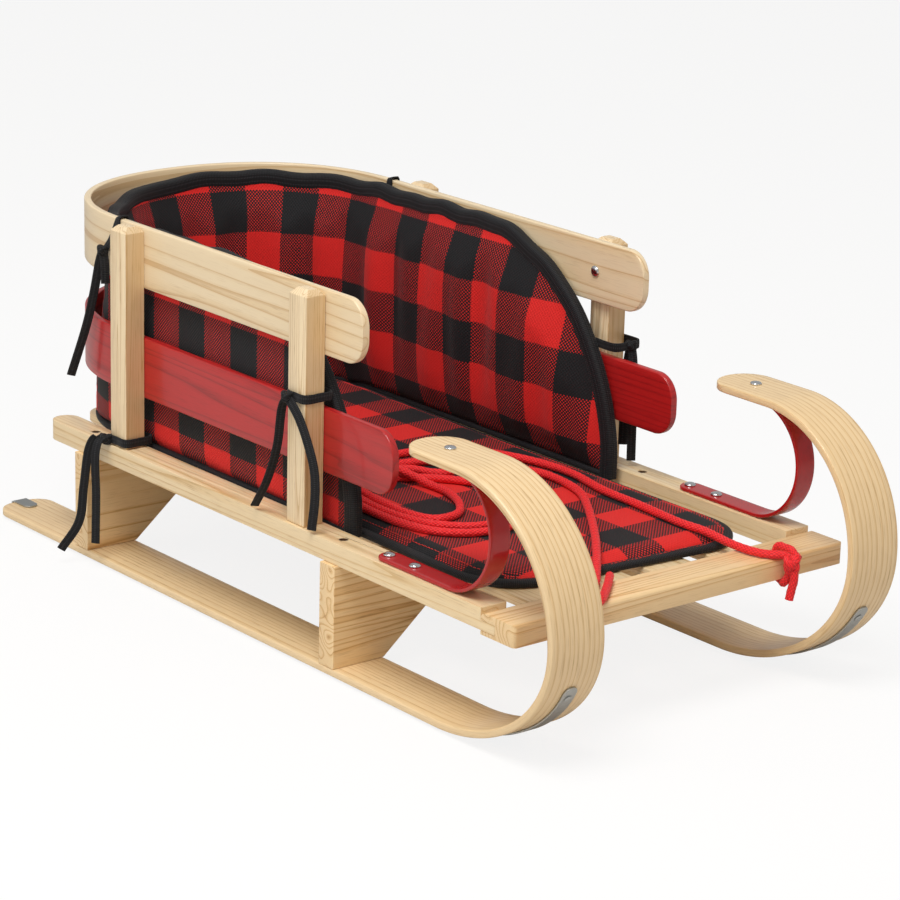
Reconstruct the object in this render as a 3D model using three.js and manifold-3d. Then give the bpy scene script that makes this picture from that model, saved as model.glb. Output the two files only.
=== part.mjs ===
// Baby pull sled: bent ash runners and back bands, a slatted deck, plaid pads, ties and a pull rope.
// Millimetres. +X runs forwards, +Y to the sled's left, +Z up. The origin is on the ground,
// under the middle of the sled's length and width.
import * as THREE from 'three';
import { mergeVertices } from 'three/addons/utils/BufferGeometryUtils.js';
import Module from 'manifold-3d';

const wasm = await Module();
wasm.setup();

// Driving dimensions: the whole sled
const clearance = 0.3; // air left between pieces that touch on the real sled
const overrun = 5; // how far a cutting tool runs past the wood it cuts
const sledLength = 812; // back of the steel shoes to the front of the curls
const runnerTrack = 310; // between the runners' centre lines on the ground
const railTrack = 330; // between the centre lines of the rails, posts, braces and curl tips
const deckHeight = 98; // underside of the rails and slats

// Driving dimensions: runners and shoes
const runnerWidth = 53;
const runnerThickness = 6.5;
const runnerRearCorner = 17;
const runnerTipCorner = 24;
const curlHeight = 226; // belly of the runner to the top of its curl
const curlLead = 145; // length of the rise from the ground to the front
const curlRise = 109; // height of the curl's foremost point above the belly
const curlReturn = 115; // length of the curl's upper quarter
const curlTipReach = 72; // flat stretch behind the upper quarter
const shoeWidth = 14;
const shoeThickness = 1.6;
const shoeFold = 24; // length of the end folded over the runner's rear tip
const shoeFrontHeight = 74; // how far up the curl the front end reaches
const shoeScrewInset = 12; // screw centre from the shoe's front end

// Driving dimensions: bolsters, rails, slats and crossbar
const bolsterThickness = 20;
const bridgeDepth = 38; // depth of a bolster above its arch
const archTopWidth = 139;
const archRound = 12; // cut across the arch's upper corners
const frontBolsterSetback = 193; // crossbar's rear face to the front bolster's middle
const rearBolsterInset = 154; // sled's rear end to the rear bolster's middle
const railWidth = 26;
const railThickness = 18.2;
const railRearInset = 92.5; // sled's rear end to the rails' rear ends
const slatThickness = 8; // also the rails' tongues and the crossbar's groove
const slatWidth = 44;
const slatCount = 4;
const slatSpan = 240; // outer edge to outer edge of the outer slats
const slatRearReach = 96; // rear bolster's middle to the slats' rear ends
const crossbarSetback = 54; // front of the curls to the crossbar's front face
const crossbarDepth = 40.5;
const crossbarStep = 3.4; // crossbar's top below the rails' tops
const crossbarLip = 3.4; // wood below the groove
const crossbarRearEase = 5; // rounds on the top's rear and front edges
const crossbarFrontEase = 3;
const crossbarCorner = 4; // round on the front corners in plan
const grooveDepth = 17;

// Driving dimensions: posts, bands and braces
const postDepth = 24.3; // along the sled
const postWidth = 19.3; // across the sled
const postHeight = 200.5;
const postChamfer = 5;
const frontPostSetback = 247; // crossbar's rear face to the front posts' middle
const rearPostInset = 205.5; // sled's rear end to the rear posts' middle
const bandThickness = 6.5;
const bandHeight = 55;
const bandCorner = 21;
const upperBandRise = 145; // rails' tops to the upper band's lower edge
const lowerBandRise = 45;
const upperBandLead = 62; // front posts' middle to the upper band's front ends
const lowerBandLead = 104;
const bandBendSetback = 32.5; // rear posts' middle to where the bands start to bend
const bandBend = 152; // length of the rounded rear part
const bandSquareness = 2.2; // power of the rounded rear part, where 2 is an ellipse
const braceWidth = 20;
const braceThickness = 3;
const braceBendSetback = 46.5; // crossbar's rear face to where the brace starts to bend
const braceBoltSetback = 99; // crossbar's rear face to the front bolt
const braceBoltSpacing = 33;
const braceTailMargin = 8; // rear bolt to the brace's end
const braceTopReach = 27; // flat stretch behind the bend at the top
const rivetReach = 12; // from the bend's start to the rivet at the top

// Driving dimensions: screws, bolts and rivets
const boltHeadRadius = 5;
const boltHeadHeight = 2.4;
const boltRadius = 2.2;
const nutRadius = 4.6;
const nutHeight = 3.2;
const screwGrip = 13; // length of a screw's shank in the piece that it holds in
const screwHeadRadius = 4;
const screwHeadHeight = 2.5;
const screwRadius = 1.8;
const counterboreDepth = 6;
const shoeScrewHeadRadius = 3.2;
const shoeScrewHeadHeight = 1.1;

// Driving dimensions: pads
const seatPadSideGap = 17; // rails' inner sides to the pad's edges
const seatPadFrontSetback = 27; // crossbar's rear face to the pad's front edge
const seatPadThickness = 11.7;
const seatPadRim = 6.5; // thickness at the binding
const seatPadCorner = 50;
const seatPadDraw = 2; // how far the long sides pull in
const backPadBelly = 20; // thickness in the middle of the pad's height
const backPadRim = 9; // thickness at the binding
const backPadFoot = 4; // slats' tops to the pad's bottom edge, inside the rails
const backPadSideHeight = 202.5;
const backPadRearDrop = 4; // how much lower the top is at the back than at the sides
const backPadCrest = 144; // front posts' middle back to where the top starts to drop
const backPadNose = 43; // front posts' middle forward to the pad's front end
const backPadNoseHeight = 26;

// Driving dimensions: ties and pull rope
const webbingWidth = 8;
const webbingThickness = 1.5;
const tieKnotRadius = 5;
const frontTieRise = 110; // rails' tops to the middle of the front ties
const bandTieSetback = 28; // rear posts' middle back to the straps over the upper band
const bandTieLean = 18; // how far the strap runs back on its way down to the knot
const bandTieDrop = 31; // upper band's top edge down to the knot
const looseLoopReach = 20; // front left post to the knot of its loose tie
const rearTailLength = 108;
const rearTailLean = 33; // how far behind its knot the rear tie's long tail ends
const rearTailSpread = 26; // deck's outer side to the end of that tail
const rearShortTailLength = 96;
const rearShortTailReach = 12;
const frontTailLength = 106;
const frontTailReach = 40;
const frontTailLean = 44;
const looseTailLength = 104;
const looseTailReach = 6;
const looseShortTailLength = 92;
const bandTailLength = 128;
const bandTailLean = 54;
const bandShortTailLength = 36;
const bandShortTailReach = 4;
const ropeDiameter = 7;
const ropeHoleRadius = 4.6;
const ropeHoleInset = 17; // hole centre behind the crossbar's front face
const ropeHoleSpread = 234; // between the two holes
const knotDepth = 18;
const knotWidth = 22;
const knotHeight = 26;
const knotTailLength = 38;

// Sizes that follow from the driving ones
const sides = { left: 1, right: -1 };
const railY = railTrack / 2;
const railTop = deckHeight + railThickness;
const runnerY = runnerTrack / 2;
const runnerBottom = shoeThickness + clearance;
const foldRadius = runnerThickness / 2 + clearance + shoeThickness;
const sledRear = -sledLength / 2;
const runnerRear = sledRear + foldRadius;
const runnerFront = sledLength / 2;
const curlTop = runnerBottom + curlHeight;
const curlSplay = railY - runnerY; // how far the curl leans outwards
const bolsterBottom = runnerBottom + runnerThickness + clearance;
const bolsterTop = deckHeight - clearance;
const crossbarFront = sledLength / 2 - crossbarSetback;
const crossbarRear = crossbarFront - crossbarDepth;
const crossbarTop = railTop - crossbarStep;
const crossbarBottom = deckHeight - crossbarLip;
const crossbarHalf = railY + railWidth / 2;
const tongueFront = crossbarRear + grooveDepth - clearance;
const frontBolsterX = crossbarRear - frontBolsterSetback;
const bolsterPlaces = [frontBolsterX, sledRear + rearBolsterInset];
const bolsterOuter = (runnerTrack + runnerWidth) / 2;
const deckOuter = Math.max(bolsterOuter, (railTrack + railWidth) / 2);
const railRear = sledRear + railRearInset;
const slatTop = deckHeight + slatThickness;
const slatPitch = (slatSpan - slatWidth) / (slatCount - 1);
const slatPlaces = Array.from({ length: slatCount }, (_, i) => (slatWidth - slatSpan) / 2 + i * slatPitch);
const frontPostX = crossbarRear - frontPostSetback;
const rearPostX = sledRear + rearPostInset;
const postPlaces = { front: frontPostX, rear: rearPostX };
const postBottom = railTop + clearance;
const postInner = railY - postWidth / 2;
const postOuter = railY + postWidth / 2;
const bandOuter = postInner - clearance;
const bandInner = bandOuter - bandThickness;
const bandBendX = rearPostX - bandBendSetback;
const upperBandZ = railTop + upperBandRise + bandHeight / 2;
const lowerBandZ = railTop + lowerBandRise + bandHeight / 2;
const upperBandTop = upperBandZ + bandHeight / 2;
const braceBendX = crossbarRear - braceBendSetback;
const braceBottom = railTop + clearance;
const braceTop = braceBottom + braceThickness;
const braceCrown = curlTop - runnerThickness - clearance;
const braceBolts = [0, 1].map((i) => crossbarRear - braceBoltSetback - i * braceBoltSpacing);
const rivetX = braceBendX - rivetReach;
const backPadOuter = bandInner - boltHeadHeight - 2 * clearance;
const backPadBottom = slatTop + backPadFoot;
const crestX = frontPostX - backPadCrest;
const seatPadBottom = slatTop + clearance;
const seatPadHalfWidth = railY - railWidth / 2 - seatPadSideGap;
const seatPadFront = crossbarRear - seatPadFrontSetback;
const holeX = crossbarFront - ropeHoleInset;
const holeY = ropeHoleSpread / 2;
const ropeRadius = ropeDiameter / 2;
const across = new THREE.Vector3(0, 1, 0);
const up = new THREE.Vector3(0, 0, 1);

// Materials
const finish = (color, roughness, metalness = 0) =>
  new THREE.MeshStandardMaterial({ color, roughness, metalness });
const ash = finish(0xe3c79b, 0.5);
const redAsh = finish(0xa51f22, 0.35);
const redEnamel = finish(0xa8141a, 0.25);
const galvanised = finish(0x9a9da0, 0.5, 0.8);
const brightSteel = finish(0xc9cbcd, 0.25, 1);
const plaidCloth = finish(0x7a1c1f, 0.85);
const blackWebbing = finish(0x17181a, 0.8);
const redRope = finish(0xd3242c, 0.7);

// A closed mesh from points and triangles, turned so that its faces point out.
function closedMesh(points, triangles) {
  const volume = triangles.reduce(
    (sum, [a, b, c]) => sum + points[a].dot(points[b].clone().cross(points[c])), 0);
  const order = volume < 0 ? [0, 2, 1] : [0, 1, 2];
  const geometry = new THREE.BufferGeometry();
  const places = points.flatMap((p) => p.toArray());
  geometry.setAttribute('position', new THREE.Float32BufferAttribute(places, 3));
  geometry.setIndex(triangles.flatMap((t) => order.map((k) => t[k])));
  return geometry;
}

// Rings with equal point counts joined into a skin, with a fan of triangles closing each end.
function skinRings(rings) {
  const count = rings[0].length;
  const points = rings.flat();
  const triangles = [];
  const next = (k) => (k + 1) % count;
  for (let base = 0; base < points.length - count; base += count) {
    for (let k = 0; k < count; k++) {
      const [a, b] = [base + k, base + next(k)];
      triangles.push([a, b, b + count], [a, b + count, a + count]);
    }
  }
  const last = points.length - count;
  const hubs = [rings[0], rings[rings.length - 1]].map((ring) =>
    ring.reduce((sum, p) => sum.add(p), new THREE.Vector3()).divideScalar(count));
  points.push(...hubs);
  for (let k = 0; k < count; k++) {
    triangles.push([next(k), k, last + count], [last + k, last + next(k), last + count + 1]);
  }
  return closedMesh(points, triangles);
}

// Distances along a path of stations, from its start to each of them.
function pathMarks(path) {
  const marks = [0];
  for (let k = 1; k < path.length; k++) marks.push(marks[k - 1] + path[k].p.distanceTo(path[k - 1].p));
  return marks;
}

// The station at a distance along a path, with the direction of the path there.
function stationAt(path, marks, distance) {
  const k = Math.max(1, marks.findIndex((mark) => mark >= distance));
  const [low, high] = [path[k - 1], path[k]];
  const share = (distance - marks[k - 1]) / (marks[k] - marks[k - 1]);
  return {
    p: new THREE.Vector3().lerpVectors(low.p, high.p, share),
    n: new THREE.Vector3().lerpVectors(low.n, high.n, share).normalize(),
    along: new THREE.Vector3().subVectors(high.p, low.p).normalize(),
  };
}

// Places along a rounded end, as shares of its radius.
const roundShares = [0, 0.04, 0.15, 0.33, 0.6, 1];

// A bent strip of constant thickness with rounded ends. Its path lists places along the middle of
// one face, each with the direction through the strip.
function bentStrip(path, side, width, thickness, startCorner, endCorner) {
  const marks = pathMarks(path);
  const total = marks[marks.length - 1];
  const drop = (distance, corner) => {
    const left = Math.max(0, 1 - distance / corner);
    return corner * (1 - Math.sqrt(1 - left * left));
  };
  const wanted = [
    ...marks.slice(1, -1),
    ...roundShares.map((share) => share * startCorner),
    ...roundShares.map((share) => total - share * endCorner),
  ].sort((a, b) => a - b);
  const least = thickness / 10;
  const apart = (d, i) => d - wanted[i - 1] > least && total - d > least;
  const chosen = wanted.filter((d, i) => i === 0 || d === total || apart(d, i));
  return skinRings(chosen.map((distance) => {
    const { p, n } = stationAt(path, marks, distance);
    const half = width / 2 - drop(distance, startCorner) - drop(total - distance, endCorner);
    const inside = p.clone().addScaledVector(n, thickness);
    return [[p, half], [p, -half], [inside, -half], [inside, half]].map(([q, reach]) =>
      q.clone().addScaledVector(side, reach));
  }));
}

// Stations along an arc drawn in a side view, at one place across the sled.
function sideArc(curve, steps, y) {
  return Array.from({ length: steps + 1 }, (_, i) => {
    const flat = curve.getPoint(i / steps);
    const along = curve.getTangent(i / steps);
    return { p: new THREE.Vector3(flat.x, y, flat.y), n: new THREE.Vector3(-along.y, 0, along.x) };
  });
}

const sideStation = (x, y, z, direction) => ({
  p: new THREE.Vector3(x, y, z),
  n: new THREE.Vector3(0, 0, direction),
});

// A geometry with shared corners merged and flat slivers left out.
function tidied(geometry) {
  const copy = geometry.clone();
  copy.deleteAttribute('normal');
  copy.deleteAttribute('uv');
  const merged = mergeVertices(copy);
  const place = merged.attributes.position;
  const read = (_, i) => new THREE.Vector3().fromBufferAttribute(place, i);
  const points = Array.from({ length: place.count }, read);
  const index = Array.from(merged.index.array);
  const triangles = Array.from({ length: index.length / 3 }, (_, i) => index.slice(3 * i, 3 * i + 3));
  return closedMesh(points, triangles.filter(([a, b, c]) => a !== b && b !== c && c !== a));
}

function toSolid(geometry) {
  const closed = tidied(geometry);
  return new wasm.Manifold(new wasm.Mesh({
    numProp: 3,
    vertProperties: new Float32Array(closed.attributes.position.array),
    triVerts: new Uint32Array(closed.index.array),
  }));
}

function toGeometry(solid) {
  const mesh = solid.getMesh();
  const geometry = new THREE.BufferGeometry();
  geometry.setAttribute('position', new THREE.BufferAttribute(mesh.vertProperties, 3));
  geometry.setIndex(new THREE.BufferAttribute(mesh.triVerts, 1));
  return geometry;
}

const cut = (body, tools) =>
  toGeometry(tools.reduce((solid, tool) => solid.subtract(toSolid(tool)), toSolid(body)));
const join = (bodies) =>
  toGeometry(bodies.slice(1).reduce((solid, body) => solid.add(toSolid(body)), toSolid(bodies[0])));

function box(lowX, highX, lowY, highY, lowZ, highZ) {
  const geometry = new THREE.BoxGeometry(highX - lowX, highY - lowY, highZ - lowZ);
  return geometry.translate((lowX + highX) / 2, (lowY + highY) / 2, (lowZ + highZ) / 2);
}

// A drill standing on end, from one height to another.
function drill(x, y, low, high, radius) {
  const geometry = new THREE.CylinderGeometry(radius, radius, high - low, 10).rotateX(Math.PI / 2);
  return geometry.translate(x, y, (low + high) / 2);
}

// A drill lying across the sled, from one place to another.
function crossDrill(x, z, from, to, radius) {
  const geometry = new THREE.CylinderGeometry(radius, radius, Math.abs(to - from), 10);
  return geometry.translate(x, (from + to) / 2, z);
}

// An outline seen from above, raised from one height to another.
function slab(shape, low, high) {
  const options = { depth: high - low, bevelEnabled: false, curveSegments: 6 };
  const geometry = new THREE.ExtrudeGeometry(shape, options);
  return geometry.translate(0, 0, low);
}

// A rectangle seen from above, with rounded rear and front corners.
function planOutline(rear, front, half, rearCorner, frontCorner) {
  const shape = new THREE.Shape();
  shape.moveTo(rear + rearCorner, -half);
  shape.lineTo(front - frontCorner, -half);
  if (frontCorner > 0) shape.absarc(front - frontCorner, frontCorner - half, frontCorner, -Math.PI / 2, 0);
  shape.lineTo(front, half - frontCorner);
  if (frontCorner > 0) shape.absarc(front - frontCorner, half - frontCorner, frontCorner, 0, Math.PI / 2);
  shape.lineTo(rear + rearCorner, half);
  if (rearCorner > 0) shape.absarc(rear + rearCorner, half - rearCorner, rearCorner, Math.PI / 2, Math.PI);
  shape.lineTo(rear, rearCorner - half);
  if (rearCorner > 0) shape.absarc(rear + rearCorner, rearCorner - half, rearCorner, Math.PI, Math.PI * 1.5);
  return shape;
}

function turned(profile, segments) {
  const outline = profile.map(([x, y]) => new THREE.Vector2(x, y));
  return new THREE.LatheGeometry(outline, segments).rotateX(Math.PI / 2);
}

// A dome's outline: shares of its radius and of its height.
const domeShares = [[1, 0], [1, 0.3], [0.8, 0.75], [0.4, 0.97], [0, 1]];

// A bolt with a domed head, standing head up with the head's underside at the origin.
function domeBolt(headRadius, headHeight, shankRadius, length) {
  const dome = domeShares.map(([r, h]) => [r * headRadius, h * headHeight]);
  return turned([[0, -length], [shankRadius, -length], [shankRadius, 0], ...dome], 10);
}

// A wood screw with a flat head, standing head up with the head's underside at the origin.
function flatScrew(length) {
  const shank = [[0, -length], [screwRadius, -length], [screwRadius, 0]];
  const head = [[screwHeadRadius, 0], [screwHeadRadius, screwHeadHeight], [0, screwHeadHeight]];
  return turned([...shank, ...head], 8);
}

// A smooth line through places, measured finely enough for even steps along it.
function smoothLine(places) {
  const line = new THREE.CatmullRomCurve3(places, false, 'centripetal');
  line.arcLengthDivisions = 20 * places.length;
  return line;
}

// A round cord along a line, in straight steps of about one length.
function roundCord(line, stepLength) {
  const section = Array.from({ length: 6 }, (_, k) => {
    const angle = (Math.PI / 3) * k;
    return new THREE.Vector2(ropeRadius * Math.cos(angle), ropeRadius * Math.sin(angle));
  });
  const steps = Math.round(line.getLength() / stepLength);
  return new THREE.ExtrudeGeometry(new THREE.Shape(section), { steps, extrudePath: line });
}

// A ball squeezed to three half sizes.
const ball = (center, halfX, halfY, halfZ) =>
  new THREE.SphereGeometry(1, 12, 8).scale(halfX, halfY, halfZ).translate(...center.toArray());

const sled = new THREE.Group();

function add(name, geometry, material) {
  const mesh = new THREE.Mesh(tidied(geometry), material);
  mesh.name = name;
  sled.add(mesh);
}

// Runner: bent ash that lies on the ground, rises at the front and curls back over.

// The belly's middle line, which leans outwards as it climbs.
function runnerLine(side) {
  const leadX = runnerFront - curlLead;
  const topX = runnerFront - curlReturn;
  const foremost = runnerBottom + curlRise;
  const rise = new THREE.EllipseCurve(leadX, foremost, curlLead, curlRise, -Math.PI / 2, 0);
  const back = new THREE.EllipseCurve(topX, foremost, curlReturn, curlHeight - curlRise, 0, Math.PI / 2);
  const line = [
    sideStation(runnerRear, 0, runnerBottom, 1),
    ...sideArc(rise, 9, 0),
    ...sideArc(back, 9, 0).slice(1),
    sideStation(topX - curlTipReach, 0, curlTop, -1),
  ];
  for (const { p } of line) p.y = side * (runnerY + (curlSplay * (p.z - runnerBottom)) / curlHeight);
  return line;
}

function runner(side) {
  const strip = bentStrip(
    runnerLine(side), across, runnerWidth, runnerThickness, runnerRearCorner, runnerTipCorner,
  );
  const rivetHole = drill(rivetX, side * railY, braceCrown, curlTop + overrun, boltRadius + clearance);
  return cut(strip, [rivetHole, shoeScrewHole(side)]);
}

// Shoe: a steel strip under the runner, folded over its rear tip and screwed to its curl.

// The runner's line up to the height where the shoe stops.
function shodLine(side) {
  const line = runnerLine(side);
  const next = line.findIndex(({ p }) => p.z > runnerBottom + shoeFrontHeight);
  const [low, high] = line.slice(next - 1, next + 1);
  const share = (runnerBottom + shoeFrontHeight - low.p.z) / (high.p.z - low.p.z);
  const end = {
    p: new THREE.Vector3().lerpVectors(low.p, high.p, share),
    n: new THREE.Vector3().lerpVectors(low.n, high.n, share).normalize(),
  };
  return [...line.slice(0, next), end];
}

function shoe(side) {
  const sole = shodLine(side).slice(1);
  for (const { p, n } of sole) p.addScaledVector(n, -clearance - shoeThickness);
  const hub = runnerBottom + runnerThickness / 2;
  const bend = new THREE.EllipseCurve(runnerRear, hub, foldRadius, foldRadius, Math.PI / 2, Math.PI * 1.5);
  const start = sideStation(runnerRear + shoeFold, side * runnerY, hub + foldRadius, -1);
  const line = [start, ...sideArc(bend, 6, side * runnerY), ...sole];
  const corner = shoeWidth / 2 - clearance;
  return cut(bentStrip(line, across, shoeWidth, shoeThickness, corner, corner), [shoeScrewHole(side)]);
}

// Stands a piece on the curl at the shoe's front screw, with its up direction pointing out of the wood.
function atShoeScrew(geometry, side) {
  const line = shodLine(side);
  const marks = pathMarks(line);
  const { p, along } = stationAt(line, marks, marks[marks.length - 1] - shoeScrewInset);
  const outward = new THREE.Vector3(along.z, 0, -along.x).normalize();
  const turn = new THREE.Quaternion().setFromUnitVectors(up, outward);
  return geometry.applyQuaternion(turn).translate(...p.toArray());
}

function shoeScrewHole(side) {
  const reach = runnerThickness + overrun;
  return atShoeScrew(drill(0, 0, -reach, reach, screwRadius + clearance), side);
}

function shoeScrew(side) {
  const lift = shoeThickness + 2 * clearance;
  const screw = domeBolt(shoeScrewHeadRadius, shoeScrewHeadHeight, screwRadius, lift + runnerThickness);
  return atShoeScrew(screw.translate(0, 0, lift), side);
}

// Bolster: a board on edge across the sled, cut to an arch between its feet.

function bolsterOutline() {
  const foot = (runnerTrack - runnerWidth) / 2;
  const bridge = bolsterTop - bridgeDepth;
  const arch = archTopWidth / 2;
  const shape = new THREE.Shape();
  shape.moveTo(-bolsterOuter, bolsterBottom);
  shape.lineTo(-foot, bolsterBottom);
  shape.lineTo(-arch - archRound, bridge - archRound);
  shape.quadraticCurveTo(-arch, bridge, archRound - arch, bridge);
  shape.lineTo(arch - archRound, bridge);
  shape.quadraticCurveTo(arch, bridge, arch + archRound, bridge - archRound);
  shape.lineTo(foot, bolsterBottom);
  shape.lineTo(bolsterOuter, bolsterBottom);
  shape.lineTo(bolsterOuter, bolsterTop);
  shape.lineTo(-bolsterOuter, bolsterTop);
  return shape;
}

function bolster(x) {
  const board = new THREE.ExtrudeGeometry(bolsterOutline(),
    { depth: bolsterThickness, bevelEnabled: false, curveSegments: 5 });
  board.rotateX(Math.PI / 2).rotateZ(Math.PI / 2).translate(x - bolsterThickness / 2, 0, 0);
  const low = bolsterTop - screwGrip - clearance;
  const bore = screwRadius + clearance;
  return cut(board, [-railY, railY].map((y) => drill(x, y, low, bolsterTop + overrun, bore)));
}

// Deck: rails and slats whose front ends enter the crossbar's groove.

function rail(side) {
  const y = side * railY;
  const outline = planOutline(railRear, tongueFront, railWidth / 2, railWidth / 2, 0);
  const bar = slab(outline, deckHeight, railTop).translate(0, y, 0);
  const shoulder = box(crossbarRear - clearance, tongueFront + overrun, y - railWidth, y + railWidth,
    slatTop, railTop + overrun);
  const low = deckHeight - overrun;
  const high = railTop + overrun;
  const bolsterHoles = bolsterPlaces.flatMap((x) => [
    drill(x, y, low, high, screwRadius + clearance),
    drill(x, y, railTop - counterboreDepth, high, screwHeadRadius + clearance),
  ]);
  const postHoles = Object.values(postPlaces).flatMap((x) => [
    drill(x, y, low, high, screwRadius + clearance),
    drill(x, y, low, deckHeight + screwHeadHeight + 2 * clearance, screwHeadRadius + clearance),
  ]);
  const braceHoles = braceBolts.map((x) => drill(x, y, low, high, boltRadius + clearance));
  return cut(bar, [shoulder, ...bolsterHoles, ...postHoles, ...braceHoles]);
}

function slat(y) {
  const rear = bolsterPlaces[1] - slatRearReach;
  const outline = planOutline(rear, tongueFront, slatWidth / 2, slatWidth / 2, 0);
  return slab(outline, deckHeight, slatTop).translate(0, y, 0);
}

// The crossbar's section seen from the side: square below, eased along both top edges.
function crossbarSection() {
  const shape = new THREE.Shape();
  const [front, rear] = [crossbarFrontEase, crossbarRearEase];
  shape.moveTo(crossbarRear, crossbarBottom);
  shape.lineTo(crossbarFront, crossbarBottom);
  shape.lineTo(crossbarFront, crossbarTop - front);
  shape.absarc(crossbarFront - front, crossbarTop - front, front, 0, Math.PI / 2);
  shape.lineTo(crossbarRear + rear, crossbarTop);
  shape.absarc(crossbarRear + rear, crossbarTop - rear, rear, Math.PI / 2, Math.PI);
  return shape;
}

function crossbar() {
  const bar = new THREE.ExtrudeGeometry(crossbarSection(),
    { depth: 2 * crossbarHalf, bevelEnabled: false, curveSegments: 5 });
  bar.rotateX(Math.PI / 2).translate(0, crossbarHalf, 0);
  const low = crossbarBottom - overrun;
  const high = crossbarTop + overrun;
  const groove = box(crossbarRear - overrun, crossbarRear + grooveDepth, -crossbarHalf - overrun,
    crossbarHalf + overrun, deckHeight - clearance, slatTop + clearance);
  const holes = Object.values(sides).map((side) => drill(holeX, side * holeY, low, high, ropeHoleRadius));
  const outline = planOutline(crossbarRear - overrun, crossbarFront, crossbarHalf, 0, crossbarCorner);
  const plan = slab(outline, low, high);
  return toGeometry(toSolid(cut(bar, [groove, ...holes])).intersect(toSolid(plan)));
}

// Posts and the two bent bands that they carry.

function post(x, side) {
  const ring = (inset, z) => [[-1, -1], [1, -1], [1, 1], [-1, 1]].map(([sx, sy]) =>
    new THREE.Vector3(x + sx * (postDepth / 2 - inset), side * railY + sy * (postWidth / 2 - inset), z));
  const top = postBottom + postHeight;
  const bar = skinRings([ring(0, postBottom), ring(0, top - postChamfer), ring(postChamfer, top)]);
  const reach = screwGrip + clearance;
  const bandHoles = [upperBandZ, lowerBandZ].map((z) =>
    crossDrill(x, z, side * (postInner - overrun), side * (postInner + reach), boltRadius + clearance));
  const footHole = drill(x, side * railY, postBottom - overrun, postBottom + reach, screwRadius + clearance);
  return cut(bar, [...bandHoles, footHole]);
}

// A U seen from above, open at the front: straight sides and a squarish round at the back.
// Each place has the direction towards the inside of the U.
function bendLine(frontX, half, steps) {
  const bend = bandBend - bandOuter + half;
  const power = 2 / bandSquareness;
  const points = [new THREE.Vector3(frontX, half, 0)];
  for (let i = 0; i <= steps; i++) {
    const angle = Math.PI * (i / steps);
    const back = Math.abs(Math.sin(angle)) ** power;
    const y = Math.sign(Math.cos(angle)) * Math.abs(Math.cos(angle)) ** power;
    points.push(new THREE.Vector3(bandBendX - bend * back, half * y, 0));
  }
  points.push(new THREE.Vector3(frontX, -half, 0));
  return points.map((p, i) => {
    const straight = i < 2 || i > points.length - 3;
    const [before, after] = [points[Math.max(i - 1, 0)], points[Math.min(i + 1, points.length - 1)]];
    const along = after.clone().sub(before).normalize();
    const inwards = new THREE.Vector3(0, -Math.sign(p.y), 0);
    return { p, n: straight ? inwards : new THREE.Vector3(-along.y, along.x, 0) };
  });
}

function band(middleZ, lead) {
  const line = bendLine(frontPostX + lead, bandOuter, 20);
  const strip = bentStrip(line, up, bandHeight, bandThickness, bandCorner, bandCorner);
  strip.translate(0, 0, middleZ);
  const reach = bandOuter + overrun;
  const bore = boltRadius + clearance;
  const holes = Object.values(postPlaces).map((x) => crossDrill(x, middleZ, -reach, reach, bore));
  return cut(strip, holes);
}

function bandBolt(x, side, z) {
  const depth = bandThickness + 2 * clearance + screwGrip;
  const bolt = domeBolt(boltHeadRadius, boltHeadHeight, boltRadius, depth);
  return bolt.rotateX((side * Math.PI) / 2).translate(x, side * (bandInner - clearance), z);
}

// Brace: enamelled steel strap, bolted to the rail and riveted under the curl's tip.

function brace(side) {
  const y = side * railY;
  const radius = (braceCrown - braceBottom) / 2;
  const quarter = Math.PI / 2;
  const bend = new THREE.EllipseCurve(
    braceBendX, braceBottom + radius, radius, radius, -quarter, quarter,
  );
  const line = [
    sideStation(braceBolts[1] - braceTailMargin, y, braceBottom, 1),
    ...sideArc(bend, 14, y),
    sideStation(braceBendX - braceTopReach, y, braceCrown, -1),
  ];
  const corner = braceWidth / 2 - clearance;
  const strap = bentStrip(line, across, braceWidth, braceThickness, corner, corner);
  const bore = boltRadius + clearance;
  const holes = braceBolts.map((x) => drill(x, y, braceBottom - overrun, braceTop + overrun, bore));
  const low = braceCrown - braceThickness - overrun;
  return cut(strap, [...holes, drill(rivetX, y, low, braceCrown + overrun, boltRadius + clearance)]);
}

// A bolt through the brace and the rail, with its nut run up on it from below.
function braceBolt(x, side) {
  const length = braceThickness + railThickness + nutHeight + 4 * clearance;
  const head = domeBolt(boltHeadRadius, boltHeadHeight, boltRadius, length);
  head.translate(x, side * railY, braceTop + clearance);
  const nut = new THREE.CylinderGeometry(nutRadius, nutRadius, nutHeight, 6).rotateX(Math.PI / 2);
  return join([head, nut.translate(x, side * railY, deckHeight - clearance - nutHeight / 2)]);
}

// A rivet through the curl's tip and the brace, with a formed head on each side.
function curlRivet(side) {
  const top = curlTop + clearance;
  const bottom = braceCrown - braceThickness - clearance;
  const half = (top - bottom) / 2 + clearance;
  const upper = domeBolt(boltHeadRadius, boltHeadHeight, boltRadius, half);
  const lower = domeBolt(boltHeadRadius, boltHeadHeight, boltRadius, half).rotateX(Math.PI);
  return join([upper.translate(rivetX, side * railY, top), lower.translate(rivetX, side * railY, bottom)]);
}

// A screw down through the rail into a bolster, its head at the bottom of a counterbore.
function railScrew(x, side) {
  const seat = railTop - counterboreDepth + clearance;
  return flatScrew(seat - bolsterTop + screwGrip).translate(x, side * railY, seat);
}

// A screw up through the rail into a post, its head sunk in the rail's underside.
function postScrew(x, side) {
  const seat = deckHeight + screwHeadHeight + clearance;
  return flatScrew(postBottom - seat + screwGrip).rotateX(Math.PI).translate(x, side * railY, seat);
}

// Seat pad: a flat quilted cushion with a low crown, bound edges and sides that pull in a little.

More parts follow.
